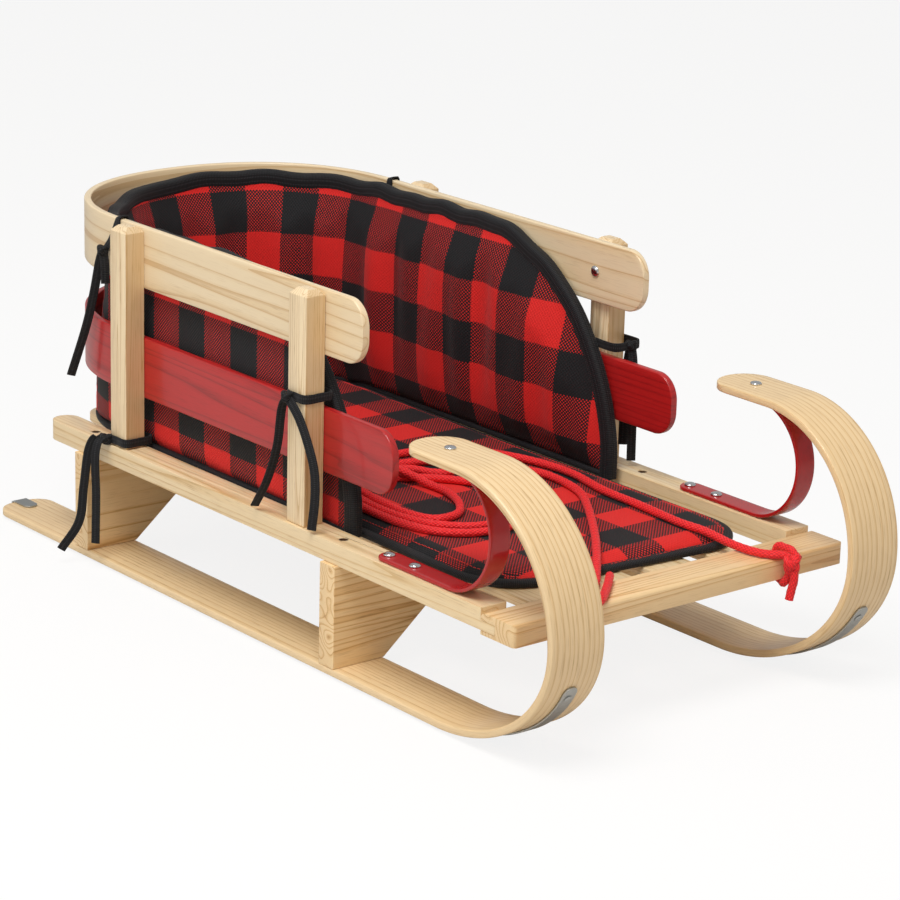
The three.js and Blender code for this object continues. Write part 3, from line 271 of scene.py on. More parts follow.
def ashWood(name, look, along=None):
    # ash: open straight grain in pale cream, darker late wood, short brown pores, under clear satin varnish
    material, tree, shader = newMaterial(name, Roughness=look["roughness"], Coat_Weight=look["coat"],
                                         Coat_Roughness=0.12)
    if along is None:
        place = addNode(tree, "Attribute", attribute_name="grain").outputs["Vector"]
    else:
        turn = {"x": (0, 0, 0), "y": (0, 0, -math.pi / 2), "z": (0, math.pi / 2, 0)}[along]
        space = addNode(tree, "TexCoord").outputs["Object"]
        place = addNode(tree, "Mapping", {"Vector": space, "Rotation": turn}).outputs[0]
    # the rings wander slowly along the board
    slow = addNode(tree, "Mapping", {"Vector": place, "Scale": (2.2, 16, 16)}).outputs[0]
    wander = addNode(tree, "TexNoise", {"Vector": slow, "Scale": 1.0, "Detail": 1.5}).outputs["Color"]
    shift = addNode(tree, "VectorMath", {0: wander, 1: (0.0, look["wander"], look["wander"])},
                    operation="MULTIPLY").outputs[0]
    moved = addNode(tree, "VectorMath", {0: place, 1: shift}, operation="ADD").outputs[0]
    rings = addNode(tree, "Mapping", {"Vector": moved, "Rotation": (look["tilt"], 0, 0),
                                                "Scale": (0.02, 1, 1)}).outputs[0]
    # growth rings of uneven width: noise stretched along the grain, several rings to each cycle
    ringScale = 1 / (look["ring"] * look["count"])
    pace = addNode(tree, "TexNoise", {"Vector": rings, "Scale": ringScale, "Detail": 1.0,
                                      "Roughness": 0.4}).outputs["Fac"]
    if look.get("spacing"):
        # quarter sawn: even lines, a little nearer and further apart
        level = addNode(tree, "SeparateXYZ", {0: rings}).outputs[1]
        even = addNode(tree, "Math", {0: level, 1: 1 / look["spacing"]}, operation="MULTIPLY").outputs[0]
        loose = addNode(tree, "Math", {0: pace, 1: look["loose"]}, operation="MULTIPLY").outputs[0]
        cycles = addNode(tree, "Math", {0: even, 1: loose}, operation="ADD").outputs[0]
    else:
        cycles = addNode(tree, "Math", {0: pace, 1: look["count"] * 2.4}, operation="MULTIPLY").outputs[0]
    wave = addNode(tree, "Math", {0: cycles}, operation="FRACT").outputs[0]
    shades = [(0.0, look["mid"]), (0.12, look["pale"]), (0.6, look["pale"]), (0.88, look["mid"]),
              (0.97, look["late"])]
    tone = addNode(tree, "ValToRGB", {0: wave}, stops=shades).outputs[0]
    # pores: strokes 0.5 mm wide and about 12 mm long
    stroke = addNode(tree, "Mapping", {"Vector": moved, "Scale": (55, 1300, 1300)}).outputs[0]
    pores = addNode(tree, "TexNoise", {"Vector": stroke, "Scale": 1.0, "Detail": 2.0}).outputs["Fac"]
    dark = addNode(tree, "MapRange", {"Value": pores, "From Min": 0.52, "From Max": 0.72,
                                      "To Max": look["pores"]}).outputs[0]
    # the pores crowd into the start of each ring
    crowd = addNode(tree, "MapRange", {"Value": wave, "From Min": 0.45, "From Max": 0.9,
                                       "To Min": 0.35}).outputs[0]
    dark = addNode(tree, "Math", {0: dark, 1: crowd}, operation="MULTIPLY").outputs[0]
    color = addNode(tree, "Mix", {0: dark, 6: tone, 7: linear(look["pore"])}, data_type="RGBA").outputs[2]
    # broad cloudiness from board to board
    cloudy = addNode(tree, "Mapping", {"Vector": place, "Scale": (3, 9, 9)}).outputs[0]
    cloud = addNode(tree, "TexNoise", {"Vector": cloudy, "Scale": 1.0, "Detail": 2.0}).outputs["Fac"]
    shade = addNode(tree, "MapRange", {"Value": cloud, "From Min": 0.3, "From Max": 0.7,
                                       "To Max": look["cloud"]}).outputs[0]
    color = addNode(tree, "Mix", {0: shade, 6: color, 7: linear(look["mid"])}, data_type="RGBA").outputs[2]
    if look.get("frontShadeTint"):
        # painted shade: a post's front and rear faces are tinted browner than its sides, as less light falls
        # on them
        facing = addNode(tree, "TexCoord").outputs["Normal"]
        ahead = addNode(tree, "SeparateXYZ", {0: facing}).outputs[0]
        ahead = addNode(tree, "Math", {0: ahead}, operation="ABSOLUTE").outputs[0]
        paintedShade = addNode(tree, "Math", {0: ahead, 1: look["frontShadeShare"]}, operation="MULTIPLY").outputs[0]
        color = addNode(tree, "Mix", {0: paintedShade, 6: color, 7: linear(look["frontShadeTint"])},
                        data_type="RGBA").outputs[2]
    tree.links.new(color, shader.inputs["Base Color"])
    bump = addNode(tree, "Bump", {"Strength": 0.12, "Distance": 0.0003, "Height": dark},
                   invert=True).outputs[0]
    tree.links.new(bump, shader.inputs["Normal"])
    return material


# ring: mean width of a growth ring; count: rings to a cycle
# wander: how far the rings stray; tilt: the angle of the cut
paleAsh = {"pale": "#F0D8AE", "mid": "#E6C897", "late": "#D2AB72", "pore": "#A0743F", "pores": 0.6,
           "cloud": 0.45, "ring": 0.0045, "count": 7, "wander": 0.004, "tilt": 0.5, "roughness": 0.42,
           "coat": 0.3}
runnerAsh = dict(paleAsh, pale="#F1D5A8", mid="#E8C692", late="#CCA06B", pores=0.8, cloud=0.6, tilt=0.25,
                 spacing=0.0052, loose=3.0)
bandAsh = dict(paleAsh, pale="#EFDAB6", mid="#E8CDA2", late="#CFA876", pores=0.35, ring=0.008, count=5,
               wander=0.014, tilt=0.12)
redAshLook = {"pale": "#BA1F1E", "mid": "#AB191A", "late": "#981414", "pore": "#6B0C0C", "pores": 0.55,
              "cloud": 0.4, "ring": 0.006, "count": 5, "wander": 0.004, "tilt": 0.15, "roughness": 0.38,
              "coat": 0.35}
crossAsh = dict(paleAsh, pale="#F5D6A4", mid="#E8BF85", late="#C9975A")
# the posts' front and rear tint is painted shade: those faces are tinted browner, as less light falls on them
postAsh = dict(paleAsh, pale="#F3DCB5", mid="#E9CCA1", late="#D2AE7C", ring=0.0026, tilt=0.9,
               frontShadeTint="#B4853F", frontShadeShare=0.5)
ashAlongX = ashWood("ash along the sled", paleAsh, "x")
ashAlongY = ashWood("ash across the sled", crossAsh, "y")
ashAlongZ = ashWood("ash posts", postAsh, "z")
runnerWood = ashWood("steam bent ash runners", runnerAsh)
bentAsh = ashWood("steam bent ash band", bandAsh)
redAsh = ashWood("red stained ash", redAshLook)


def buffaloPlaid(name, cell, phase, source):
    # woven polyester twill: squares of red and black, crossed squares in red dots on black
    material, tree, shader = newMaterial(name, Roughness=0.75, Specular_IOR_Level=0.3, Sheen_Weight=0.06,
                                         Sheen_Roughness=0.5)
    if source == "grain":
        place = addNode(tree, "Attribute", attribute_name="grain").outputs["Vector"]
    else:
        place = addNode(tree, "TexCoord").outputs["Object"]
    # dots on a checkerboard turned by 45 degrees, 3.2 mm apart: sin u + sin v above a level
    lattice = addNode(tree, "Mapping", {"Vector": place, "Rotation": (0, 0, math.radians(45)),
                                        "Scale": (2750, 2750, 1)}).outputs[0]
    apart = addNode(tree, "SeparateXYZ", {0: lattice})
    wave = [addNode(tree, "Math", {0: apart.outputs[k]}, operation="SINE").outputs[0] for k in (0, 1)]
    total = addNode(tree, "Math", {0: wave[0], 1: wave[1]}, operation="ADD").outputs[0]
    dots = addNode(tree, "MapRange", {"Value": total, "From Min": 0.35, "From Max": 0.8}).outputs[0]
    # the squares' edges are stepped by the same weave
    step = addNode(tree, "Math", {0: total, 1: 0.00045}, operation="MULTIPLY").outputs[0]
    stepped = addNode(tree, "VectorMath", {0: place, 1: step}, operation="ADD").outputs[0]
    count = addNode(tree, "VectorMath", {0: stepped, 1: (*phase, 0)}, operation="SUBTRACT").outputs[0]
    count = addNode(tree, "VectorMath", {0: count, 1: (0.5 / cell[0], 0.5 / cell[1], 1)},
                    operation="MULTIPLY").outputs[0]
    split = addNode(tree, "SeparateXYZ", {0: count})
    # a stripe is red for the first half of each cycle from its phase
    red = []
    for axis in (0, 1):
        part = addNode(tree, "Math", {0: split.outputs[axis]}, operation="FRACT").outputs[0]
        red.append(addNode(tree, "Math", {0: part, 1: 0.5}, operation="LESS_THAN").outputs[0])
    both = addNode(tree, "Math", {0: red[0], 1: red[1]}, operation="MULTIPLY").outputs[0]
    gap = addNode(tree, "Math", {0: red[0], 1: red[1]}, operation="SUBTRACT").outputs[0]
    mixed = addNode(tree, "Math", {0: gap}, operation="ABSOLUTE").outputs[0]
    dotted = addNode(tree, "Math", {0: mixed, 1: dots}, operation="MULTIPLY").outputs[0]
    redness = addNode(tree, "Math", {0: both, 1: dotted}, operation="ADD").outputs[0]
    color = addNode(tree, "Mix", {0: redness, 6: linear("#151517"), 7: linear("#D8231F")},
                    data_type="RGBA").outputs[2]
    tree.links.new(color, shader.inputs["Base Color"])
    bump = addNode(tree, "Bump", {"Strength": 0.3, "Distance": 0.0003, "Height": total}).outputs[0]
    tree.links.new(bump, shader.inputs["Normal"])
    return material


seatPlaid = buffaloPlaid("seat plaid twill", (0.0375, 0.0381), (0.1915, 0.041), "object")
backPlaid = buffaloPlaid("back plaid twill", (0.0389, 0.0386), (-0.0118, 0.1385), "grain")


def ribbedWebbing(name, code, speck, pitch):
    # grosgrain: fine cross ribs in matt black polyester
    material, tree, shader = newMaterial(name, Roughness=0.7, Specular_IOR_Level=0.3, Sheen_Weight=0.08,
                                         Sheen_Roughness=0.4)
    uv = addNode(tree, "UVMap", uv_map="cloth").outputs[0]
    # a wave texture repeats every 0.314 of its scaled length
    across, rib = (addNode(tree, "TexWave", {"Vector": uv, "Scale": 0.314 / pitch, "Distortion": 0.4},
                           bands_direction=axis, wave_profile="SIN").outputs["Fac"] for axis in "XY")
    weave = addNode(tree, "Math", {0: rib, 1: across}, operation="MULTIPLY").outputs[0]
    color = addNode(tree, "ValToRGB", {0: weave}, stops=[(0.45, code), (0.9, speck)]).outputs[0]
    tree.links.new(color, shader.inputs["Base Color"])
    bump = addNode(tree, "Bump", {"Strength": 0.6, "Distance": 0.0004, "Height": rib}).outputs[0]
    tree.links.new(bump, shader.inputs["Normal"])
    return material


blackBinding = ribbedWebbing("black binding", "#121214", "#3A3A3D", 0.0016)
blackWebbing = ribbedWebbing("black tie webbing", "#101012", "#343437", 0.0016)


def braidedRope(name, look):
    # diamond braid: two sets of strands that cross over each other on the round of the rope
    material, tree, shader = newMaterial(name, Roughness=0.5, Specular_IOR_Level=0.35, Sheen_Weight=0.1,
                                         Sheen_Roughness=0.4)
    uv = addNode(tree, "UVMap", uv_map="cloth").outputs[0]
    fields = []
    for sign in (1, -1):
        scale = (2 * math.pi * 4 / look["girth"], sign * 2 * math.pi / look["pitch"], 1)
        lean = addNode(tree, "Mapping", {"Vector": uv, "Scale": scale}).outputs[0]
        part = addNode(tree, "SeparateXYZ", {0: lean})
        total = addNode(tree, "Math", {0: part.outputs[0], 1: part.outputs[1]}, operation="ADD").outputs[0]
        swing = addNode(tree, "Math", {0: total}, operation="SINE").outputs[0]
        fields.append(addNode(tree, "Math", {0: swing}, operation="ABSOLUTE").outputs[0])
    height = addNode(tree, "Math", {0: fields[0], 1: fields[1]}, operation="MULTIPLY").outputs[0]
    # painted shade: the low parts of the braid, between the strands, are coloured darker than the strands'
    # crowns
    shades = [(0.0, look["deep"]), (0.35, look["bright"]), (1.0, look["bright"])]
    color = addNode(tree, "ValToRGB", {0: height}, stops=shades).outputs[0]
    tree.links.new(color, shader.inputs["Base Color"])
    bump = addNode(tree, "Bump", {"Strength": 0.8, "Distance": 0.0006, "Height": height}).outputs[0]
    tree.links.new(bump, shader.inputs["Normal"])
    return material


# the rope's deep colour is painted shade in the grooves between the strands
redRope = braidedRope("red braided polypropylene rope",
                      {"girth": 0.022, "pitch": 0.0075, "deep": "#BE1319", "bright": "#FB2A2E"})
# painted shade: a dark brown for the shadowed walls of the rail screws' counterbores
counterboreShade = newMaterial("painted shade in rail counterbores", Roughness=0.8, Base_Color=linear("#4A2C14"))[0]
redThread = newMaterial("red sewing thread", Roughness=0.6, Base_Color=linear("#E0352B"))[0]
# gloss enamel baked on steel: an even skin, sharp highlights
redEnamel = newMaterial("red enamel on steel", Base_Color=linear("#B0181A"), Roughness=0.25,
                        Specular_IOR_Level=0.35, Coat_Weight=0.4, Coat_Roughness=0.05)[0]


def plainSteel(name, code, roughness, spread):
    # zinc on steel: cloudy spangle that shows mostly in the gloss
    material, tree, shader = newMaterial(name, Metallic=1.0, Base_Color=linear(code))
    space = addNode(tree, "TexCoord").outputs["Object"]
    cloud = addNode(tree, "TexNoise", {"Vector": space, "Scale": 260.0, "Detail": 3.0}).outputs["Fac"]
    rough = addNode(tree, "MapRange", {"Value": cloud, "To Min": roughness - spread,
                                       "To Max": roughness + spread}).outputs[0]
    tree.links.new(rough, shader.inputs["Roughness"])
    return material


galvanised = plainSteel("galvanised steel strip", "#B6B8B6", 0.42, 0.14)
zincPlated = plainSteel("bright zinc plated steel", "#D9DBDD", 0.2, 0.06)
print("materials made")

# Camera, seen from the sled's front right and a little above

view = {"lens": 129.14, "sensor": 36.0, "place": (2.1106, -1.6884, 0.9593),
        "backward": (0.7397, -0.6065, 0.2917), "flat": (0.6341, 0.7733, 0), "roll": 1.53}
cameraData = bpy.data.cameras.new("view")
cameraData.lens, cameraData.sensor_width = view["lens"], view["sensor"]
cameraData.clip_start, cameraData.clip_end = 0.1, 50
camera = bpy.data.objects.new("view", cameraData)
bpy.context.scene.collection.objects.link(camera)
bpy.context.scene.camera = camera
backward = Vector(view["backward"]).normalized()
flat = Vector(view["flat"]).normalized()
upright = backward.cross(flat)
roll = math.radians(view["roll"])
right = math.cos(roll) * flat + math.sin(roll) * upright
top = -math.sin(roll) * flat + math.cos(roll) * upright
turnMatrix = Matrix((right, top, backward)).transposed().to_4x4()
camera.matrix_world = Matrix.Translation(view["place"]) @ turnMatrix

# Pull rope and its knots

rope = {
    "diameter": 0.007, "length": 2.286, "sides": 24, "step": 0.0011,
    "strands": 8, "pitch": 0.0150, "relief": 0.13,
    # the route in millimetres, from the left knot to the right one
    "places": [
        (348, 97.5, 116.7), (341, 93, 116.7), (328, 90, 116.8), (308, 88.6, 117.4), (294, 87.4, 119.2),
        (280, 85, 121.3), (268, 82.8, 121.8), (256, 82, 121.8), (203, 86, 121.8), (153, 88, 121.8),
        (105, 97, 121.8), (70, 96, 121.8), (34, 87, 121.8), (5, 72, 121.8), (-15, 52, 121.8),
        (-26, 27, 121.8), (-30, 0, 121.8), (-29, -27, 121.8), (-22, -54, 121.8), (-11, -77, 121.8),
        (6, -95, 121.8), (32, -106, 121.8), (61, -109.5, 121.8), (90, -112, 121.8), (127, -110, 121.8),
        (160, -99, 121.8), (178, -78, 121.8), (184, -50, 121.8), (176, -20, 121.8), (155, 8, 121.8),
        (126, 23, 121.8), (88, 31, 121.8), (49, 33, 121.8), (22, 28, 121.8), (2, 14, 121.8),
        (-6, -9, 121.8), (-9, -34, 121.8), (-6, -57, 121.8), (4, -76, 121.8), (22, -90, 121.8),
        (48, -97.5, 121.8), (78, -102, 121.8), (115, -100, 121.8), (146, -88, 121.8), (167, -64, 121.8),
        (168, -39, 121.8), (158, -15, 121.8), (141, 3, 121.8), (116, 13, 121.8), (88, 14, 121.8),
        (63, 4, 121.8), (41, -14, 121.8), (25, -36, 121.8), (15, -51, 121.8), (12.5, -63, 121.8),
        (17, -75, 121.8), (28.5, -82.5, 121.8), (43, -85.5, 121.8), (76, -90, 121.8), (112, -90, 121.8),
        (133, -80, 121.8), (133, -58, 121.8), (112, -38, 121.8), (80, -26, 121.8), (56, -26, 122.3),
        (40, -31, 126.5), (26, -37.5, 130.3), (13, -38.5, 126.5), (4.5, -31, 122.3), (4.5, -20, 121.8),
        (14, -9, 121.8), (30, -2, 121.8), (42, 8, 123.5), (47, 20, 128), (49.5, 32, 130.2),
        (52, 44, 128), (57, 57, 123.5), (68, 69, 121.8), (86, 76, 121.8), (118, 75, 121.8),
        (147, 67, 121.8), (182, 45, 121.8), (231, 9, 121.8), (262, -16, 121.8), (283, -34, 120.8),
        (302, -51, 118.6), (320, -68, 117), (333, -85.5, 116.7), (339.8, -95, 116.7), (344, -101, 116.7),
    ],
}
# millimetres; each knot hangs before the crossbar, under the end of the rope
knot = {
    "x": 361.3, "holeY": 117.0, "above": 3,
    # the ring through the crossbar's hole: x, share of the way from the hole to the knot, z
    "ring": [(356.3, 0, 115), (352, 0, 117.77), (345, 0, 117.77), (339.6, 0, 117.77), (336, 0, 115.8),
             (335, 0, 111), (335, 0, 97), (336, 0, 92.4), (340, 0, 90.4), (348, 0.5, 90.4), (353.6, 1, 91.6),
             (357.2, 1, 96), (360, 1, 103)],
    # the stub: how far it runs inside and along the rope's end, then x, inwards from the knot, z
    "inside": 0.6, "beyond": 1.5, "stub": [(353, 6, 116.7), (357.5, 1.8, 115.6), (360.3, 0, 112.5)],
    # two wraps: forward and up from the knot, half sizes, cord's half thickness in metres, lean
    "wraps": [((0.4, 0, 1), (3.0, 4.2, 4.6), 0.0036, (0.01, 0.0, 0.0)),
              ((0.6, 0, 0.5), (2.0, 6.2, 7.2), 0.0033, (0.02, 0.0, 0.0))],
    "left": {"y": 109.0, "z": 109.5,
             "tail": [(364.3, 109, 105), (365.3, 109, 98), (363.8, 108, 88), (363.3, 106.5, 80)]},
    "right": {"y": 113.5, "z": 107.9,
              "tail": [(361.3, -109.5, 112), (354, -92, 117.5), (346, -82, 117), (329, -63, 116.7),
                       (312.5, -46, 116.7)]},
}


def braided(places, lean):
    # a length of the rope with its strands in relief
    path = smoothLine(places, rope["step"])
    return sweep(path, lean, radius, radius, rope["sides"], relief=braidHeight(path, rope["sides"], rope))


def threeTurnKnot(centre, size, radius, lean):
    # a trefoil: x = sin t + 2 sin 2t, y = cos t - 2 cos 2t, z = -sin 3t, drawn in to its three half sizes
    t = np.linspace(0, 2 * np.pi, 97)
    curve = np.stack([-np.sin(3 * t), (np.sin(t) + 2 * np.sin(2 * t)) / 3,
                      (np.cos(t) - 2 * np.cos(2 * t)) / 3], -1)
    centre = np.asarray(centre) * millimetre
    path = centre + curve * np.asarray(size) * millimetre
    return sweep(path, path - centre + lean, radius, radius, cols=12)


radius = rope["diameter"] / 2
ropePiece = makePiece("pull_rope_braided", [braided(rope["places"], up)], redRope, ["pull_rope"],
                      sharp=180)
for name, side in sides.items():
    own = knot[name]
    y, holeY = side * own["y"], side * knot["holeY"]
    ring = [(knot["x"], holeY, own["z"] + knot["above"])]
    ring += [(x, holeY + (y - holeY) * share, z) for x, share, z in knot["ring"]]
    end, before = (np.array(rope["places"][i]) for i in ((0, 1) if side > 0 else (-1, -2)))
    ahead = unit(end - before)
    stub = [end - knot["inside"] * ahead, end + knot["beyond"] * ahead]
    stub += [(x, y - side * inwards, z) for x, inwards, z in knot["stub"]]
    parts = [braided(ring, (0, 1, 0)), braided(stub, up), braided(own["tail"], (0, 1, 0.2))]
    middle = np.array([knot["x"], y, own["z"]])
    parts += [threeTurnKnot(middle + shift, size, half, lean) for shift, size, half, lean in knot["wraps"]]
    makePiece(f"rope_knot_{name}_tied", parts, redRope, [f"rope_knot_{name}"])

# Runners, shoes and braces: strips bent in the side view

runner = {"width": 0.053, "thickness": 0.0065, "rear": -0.40085, "front": 0.406, "bottom": 0.0019,
          "lead": 0.145, "rise": 0.109, "back": 0.115, "height": 0.226, "reach": 0.072, "y": 0.155,
          "splay": 0.010, "startCorner": 0.017, "endCorner": 0.024, "ease": 0.0013,
          "phase": {"left": 1.5, "right": 0.3}}
shoe = {"width": 0.014, "thickness": 0.0016, "startCorner": 0.0067, "endCorner": 0.0067, "ease": 0.0004,
        "fold": 0.024, "gap": 0.0003, "top": 0.0759, "phase": 0.2, "screwInset": 0.012, "screwProud": 0.0002,
        "screwLength": 0.0075}
brace = {"width": 0.020, "thickness": 0.003, "startCorner": 0.0097, "endCorner": 0.0097, "ease": 0.0008,
         "rear": 0.1715, "bendX": 0.265, "bottom": 0.1165, "top": 0.2211, "reach": 0.027, "y": 0.165,
         "phase": 0.1, "boltX": (0.2125, 0.1795), "boltZ": 0.1198, "boltLength": 0.0256,
         "rivetX": 0.253, "rivetTop": 0.2282, "rivetBottom": 0.2178, "rivetLength": 0.005}
# heads and shanks
boltHead = {"radius": 0.005, "height": 0.0024, "shank": 0.0022}
rivetHead = dict(boltHead, height=0.0022)
screwHead = {"radius": 0.0034, "height": 0.001, "shank": 0.0018}
nutProfile = [(0.0005, -0.0252), (0.0046, -0.0252), (0.0046, -0.022), (0.0005, -0.022)]
postBolt = {"x": {"front": 0.0645, "rear": -0.2005}, "y": 0.14825, "z": {"upper": 0.2887, "lower": 0.1887},
            "length": 0.020}


def sideArc(cx, cz, rx, rz, start, end, count=60):
    a = np.radians(np.linspace(start, end, count))
    return np.stack([cx + rx * np.cos(a), cz + rz * np.sin(a)], -1)


def sideLine(points, y):
    # a line in the side view with the direction to its left, which is the strip's inside
    along = unit(np.gradient(points, axis=0))
    path = np.stack([points[:, 0], np.broadcast_to(y, len(points)), points[:, 1]], -1)
    return path, np.stack([-along[:, 1], np.zeros(len(points)), along[:, 0]], -1)


def runnerLine(side):
    r = runner
    leadX, topX, foremost = r["front"] - r["lead"], r["front"] - r["back"], r["bottom"] + r["rise"]
    flatRun = np.stack([np.linspace(r["rear"], leadX, 120), np.full(120, r["bottom"])], -1)
    rise = sideArc(leadX, foremost, r["lead"], r["rise"], -90, 0)
    back = sideArc(topX, foremost, r["back"], r["height"] - r["rise"], 0, 90)
    tip = np.stack([np.linspace(topX, topX - r["reach"], 20), np.full(20, r["bottom"] + r["height"])], -1)
    line = np.concatenate([flatRun[:-1], rise[:-1], back[:-1], tip])
    return sideLine(line, side * (r["y"] + r["splay"] * (line[:, 1] - r["bottom"]) / r["height"]))


def shoeLine(side):
    path, through = runnerLine(side)
    low = (path[:, 2] < shoe["top"]) & (np.cumsum(path[:, 2] >= shoe["top"]) == 0)
    under = (path - through * (shoe["gap"] + shoe["thickness"]))[low]
    hub = runner["bottom"] + runner["thickness"] / 2
    reach = runner["thickness"] / 2 + shoe["gap"] + shoe["thickness"]
    bend = sideArc(runner["rear"], hub, reach, reach, 90, 270, 24)
    foldX = np.linspace(runner["rear"] + shoe["fold"], runner["rear"], 12)
    fold = np.stack([foldX, np.full(12, hub + reach)], -1)
    line = np.concatenate([fold[:-1], bend[:-1], under[1:, [0, 2]]])
    y = np.concatenate([np.full(len(fold) + len(bend) - 2, side * runner["y"]), under[1:, 1]])
    return sideLine(line, y)


def domeBolt(centre, axis, head, length):
    # a shank under a low dome, which has a small flat rim and is closed at its crown
    radius, height, shank = head["radius"], head["height"], head["shank"]
    a = np.linspace(0, np.pi / 2, 9)[1:-1]
    dome = [(radius * math.cos(t), height * (0.2 + 0.8 * math.sin(t))) for t in a]
    profile = [(0.0002, -length), (shank, -length), (shank, 0.0), (radius * 0.97, 0.0),
               (radius, height * 0.12), *dome, (0.0004, height)]
    return turned(profile, centre, axis)


for name, side in sides.items():
    path, through = runnerLine(side)
    makePiece(f"runner_{name}_bent", [strip(path, through, sideways, runner, runner["phase"][name])],
              runnerWood, [f"runner_{name}"])
    path, through = shoeLine(side)
    makePiece(f"runner_shoe_{name}_strip", [strip(path, through, sideways, shoe, shoe["phase"])],
              galvanised, [f"runner_shoe_{name}"])
    marks = marksOf(path)
    screwMark = [marks[-1] - shoe["screwInset"]]
    outward = -unit(atMarks(through, marks, screwMark))[0]
    place = atMarks(path, marks, screwMark)[0] + outward * shoe["screwProud"]
    makePiece(f"shoe_screw_{name}_domed", [domeBolt(place, outward, screwHead, shoe["screwLength"])],
              galvanised, [f"shoe_screw_{name}"])
    b = brace
    middle, half = (b["bottom"] + b["top"]) / 2, (b["top"] - b["bottom"]) / 2
    foot = np.stack([np.linspace(b["rear"], b["bendX"], 40), np.full(40, b["bottom"])], -1)
    crown = np.stack([np.linspace(b["bendX"], b["bendX"] - b["reach"], 12), np.full(12, b["top"])], -1)
    line = np.concatenate([foot[:-1], sideArc(b["bendX"], middle, half, half, -90, 90)[:-1], crown])
    path, through = sideLine(line, side * b["y"])
    makePiece(f"brace_{name}_strap", [strip(path, through, sideways, b, b["phase"])], redEnamel,
              [f"brace_{name}"])
    for i, x in enumerate(b["boltX"]):
        spot = (x, side * b["y"], b["boltZ"])
        nut = turned(nutProfile, spot, up, 6)
        makePiece(f"brace_bolt_{name}_{i + 1}_domed", [domeBolt(spot, up, boltHead, b["boltLength"]), nut],
                  zincPlated, [f"brace_bolt_{name}_{i + 1}"], sharp=30)
    rivet = [domeBolt((b["rivetX"], side * b["y"], z), axis, rivetHead, b["rivetLength"])
             for z, axis in ((b["rivetTop"], up), (b["rivetBottom"], -up))]
    makePiece(f"curl_rivet_{name}_formed", rivet, zincPlated, [f"curl_rivet_{name}"])
    for end, x in postBolt["x"].items():
        for level, z in postBolt["z"].items():
            made = domeBolt((x, side * postBolt["y"], z), (0, -side, 0), boltHead, postBolt["length"])
            makePiece(f"{level}_bolt_{end}_{name}_domed", [made], zincPlated,
                      [f"{level}_bolt_{end}_{name}"])
print("runners, shoes and braces made")

# Bands: strips bent in the plan view

band = {"width": 0.055, "thickness": 0.0065, "startCorner": 0.021, "endCorner": 0.021, "ease": 0.0013,
        "half": 0.15505, "bendX": -0.233, "bend": 0.152, "power": 2.2,
        "front": {"upper": 0.1265, "lower": 0.1685}, "phase": {"upper": 2.3, "lower": 3.1}}


def bendLine(front, half, bend, count=150):
    # straight sides and a rounded rear: |y/half|^power + |x/bend|^power = 1
    a = np.linspace(0, np.pi, count)
    c, s = np.cos(a), np.sin(a)
    x = band["bendX"] - bend * np.abs(s) ** (2 / band["power"])
    y = half * np.sign(c) * np.abs(c) ** (2 / band["power"])
    straight = np.linspace(front, band["bendX"], 70)[:-1]
    x = np.concatenate([straight, x, straight[::-1]])
    y = np.concatenate([np.full(69, half), y, np.full(69, -half)])
    path = np.stack([x, y, np.zeros(len(x))], -1)
    marks = marksOf(path)
    path = atMarks(path, marks, np.linspace(0, marks[-1], 420))
    along = unit(np.gradient(path, axis=0))
    return path, np.stack([-along[:, 1], along[:, 0], np.zeros(len(path))], -1)


for level, look, slot in (("upper", bentAsh, "ash"), ("lower", redAsh, "red_ash")):
    path, through = bendLine(band["front"][level], band["half"], band["bend"])
    path[:, 2] = postBolt["z"][level]
    makePiece(f"{level}_band_bent", [strip(path, through, up, band, band["phase"][level])], look,
              [f"{level}_band"])

# Boards and posts keep their CAD shapes, with sanded edges

sanded = {"along": 0.0012, "across": 0.001}
for name in ("side_rail_left", "side_rail_right", "seat_slat_1", "seat_slat_2", "seat_slat_3", "seat_slat_4"):
    easedCopy(name, sanded["along"], ashAlongX)
for name in ("front_crossbar", "bolster_front", "bolster_rear"):
    easedCopy(name, sanded["across"], ashAlongY)
for end in ("front", "rear"):
    for name in sides:
        easedCopy(f"post_{end}_{name}", sanded["along"], ashAlongZ)
        nodes[f"post_screw_{end}_{name}"].data.materials.clear()
        nodes[f"post_screw_{end}_{name}"].data.materials.append(zincPlated)
# a thin dark brown sleeve in each rail screw's counterbore is painted shade on the hole's wall
counterbore = {"radius": 0.0040, "wall": 0.0003, "top": 0.1155, "depth": 0.0050}
for name, side in sides.items():
    for i in (1, 2):
        screw = nodes[f"rail_screw_{name}_{i}"]
        screw.data.materials.clear()
        screw.data.materials.append(zincPlated)
        c = counterbore
        middle = sum((screw.matrix_world @ Vector(p) for p in screw.bound_box), Vector()) / 8
        inner, outer, depth = c["radius"] - c["wall"], c["radius"], c["depth"]
        cut = [(inner, 0), (outer, 0), (outer, -depth), (inner, -depth)]
        wall = turned(cut, (middle.x, middle.y, c["top"]), up, ends="joined")
        makePiece(f"rail_bore_shade_{name}_{i}", [wall], counterboreShade)
print("wood made")

# Pads

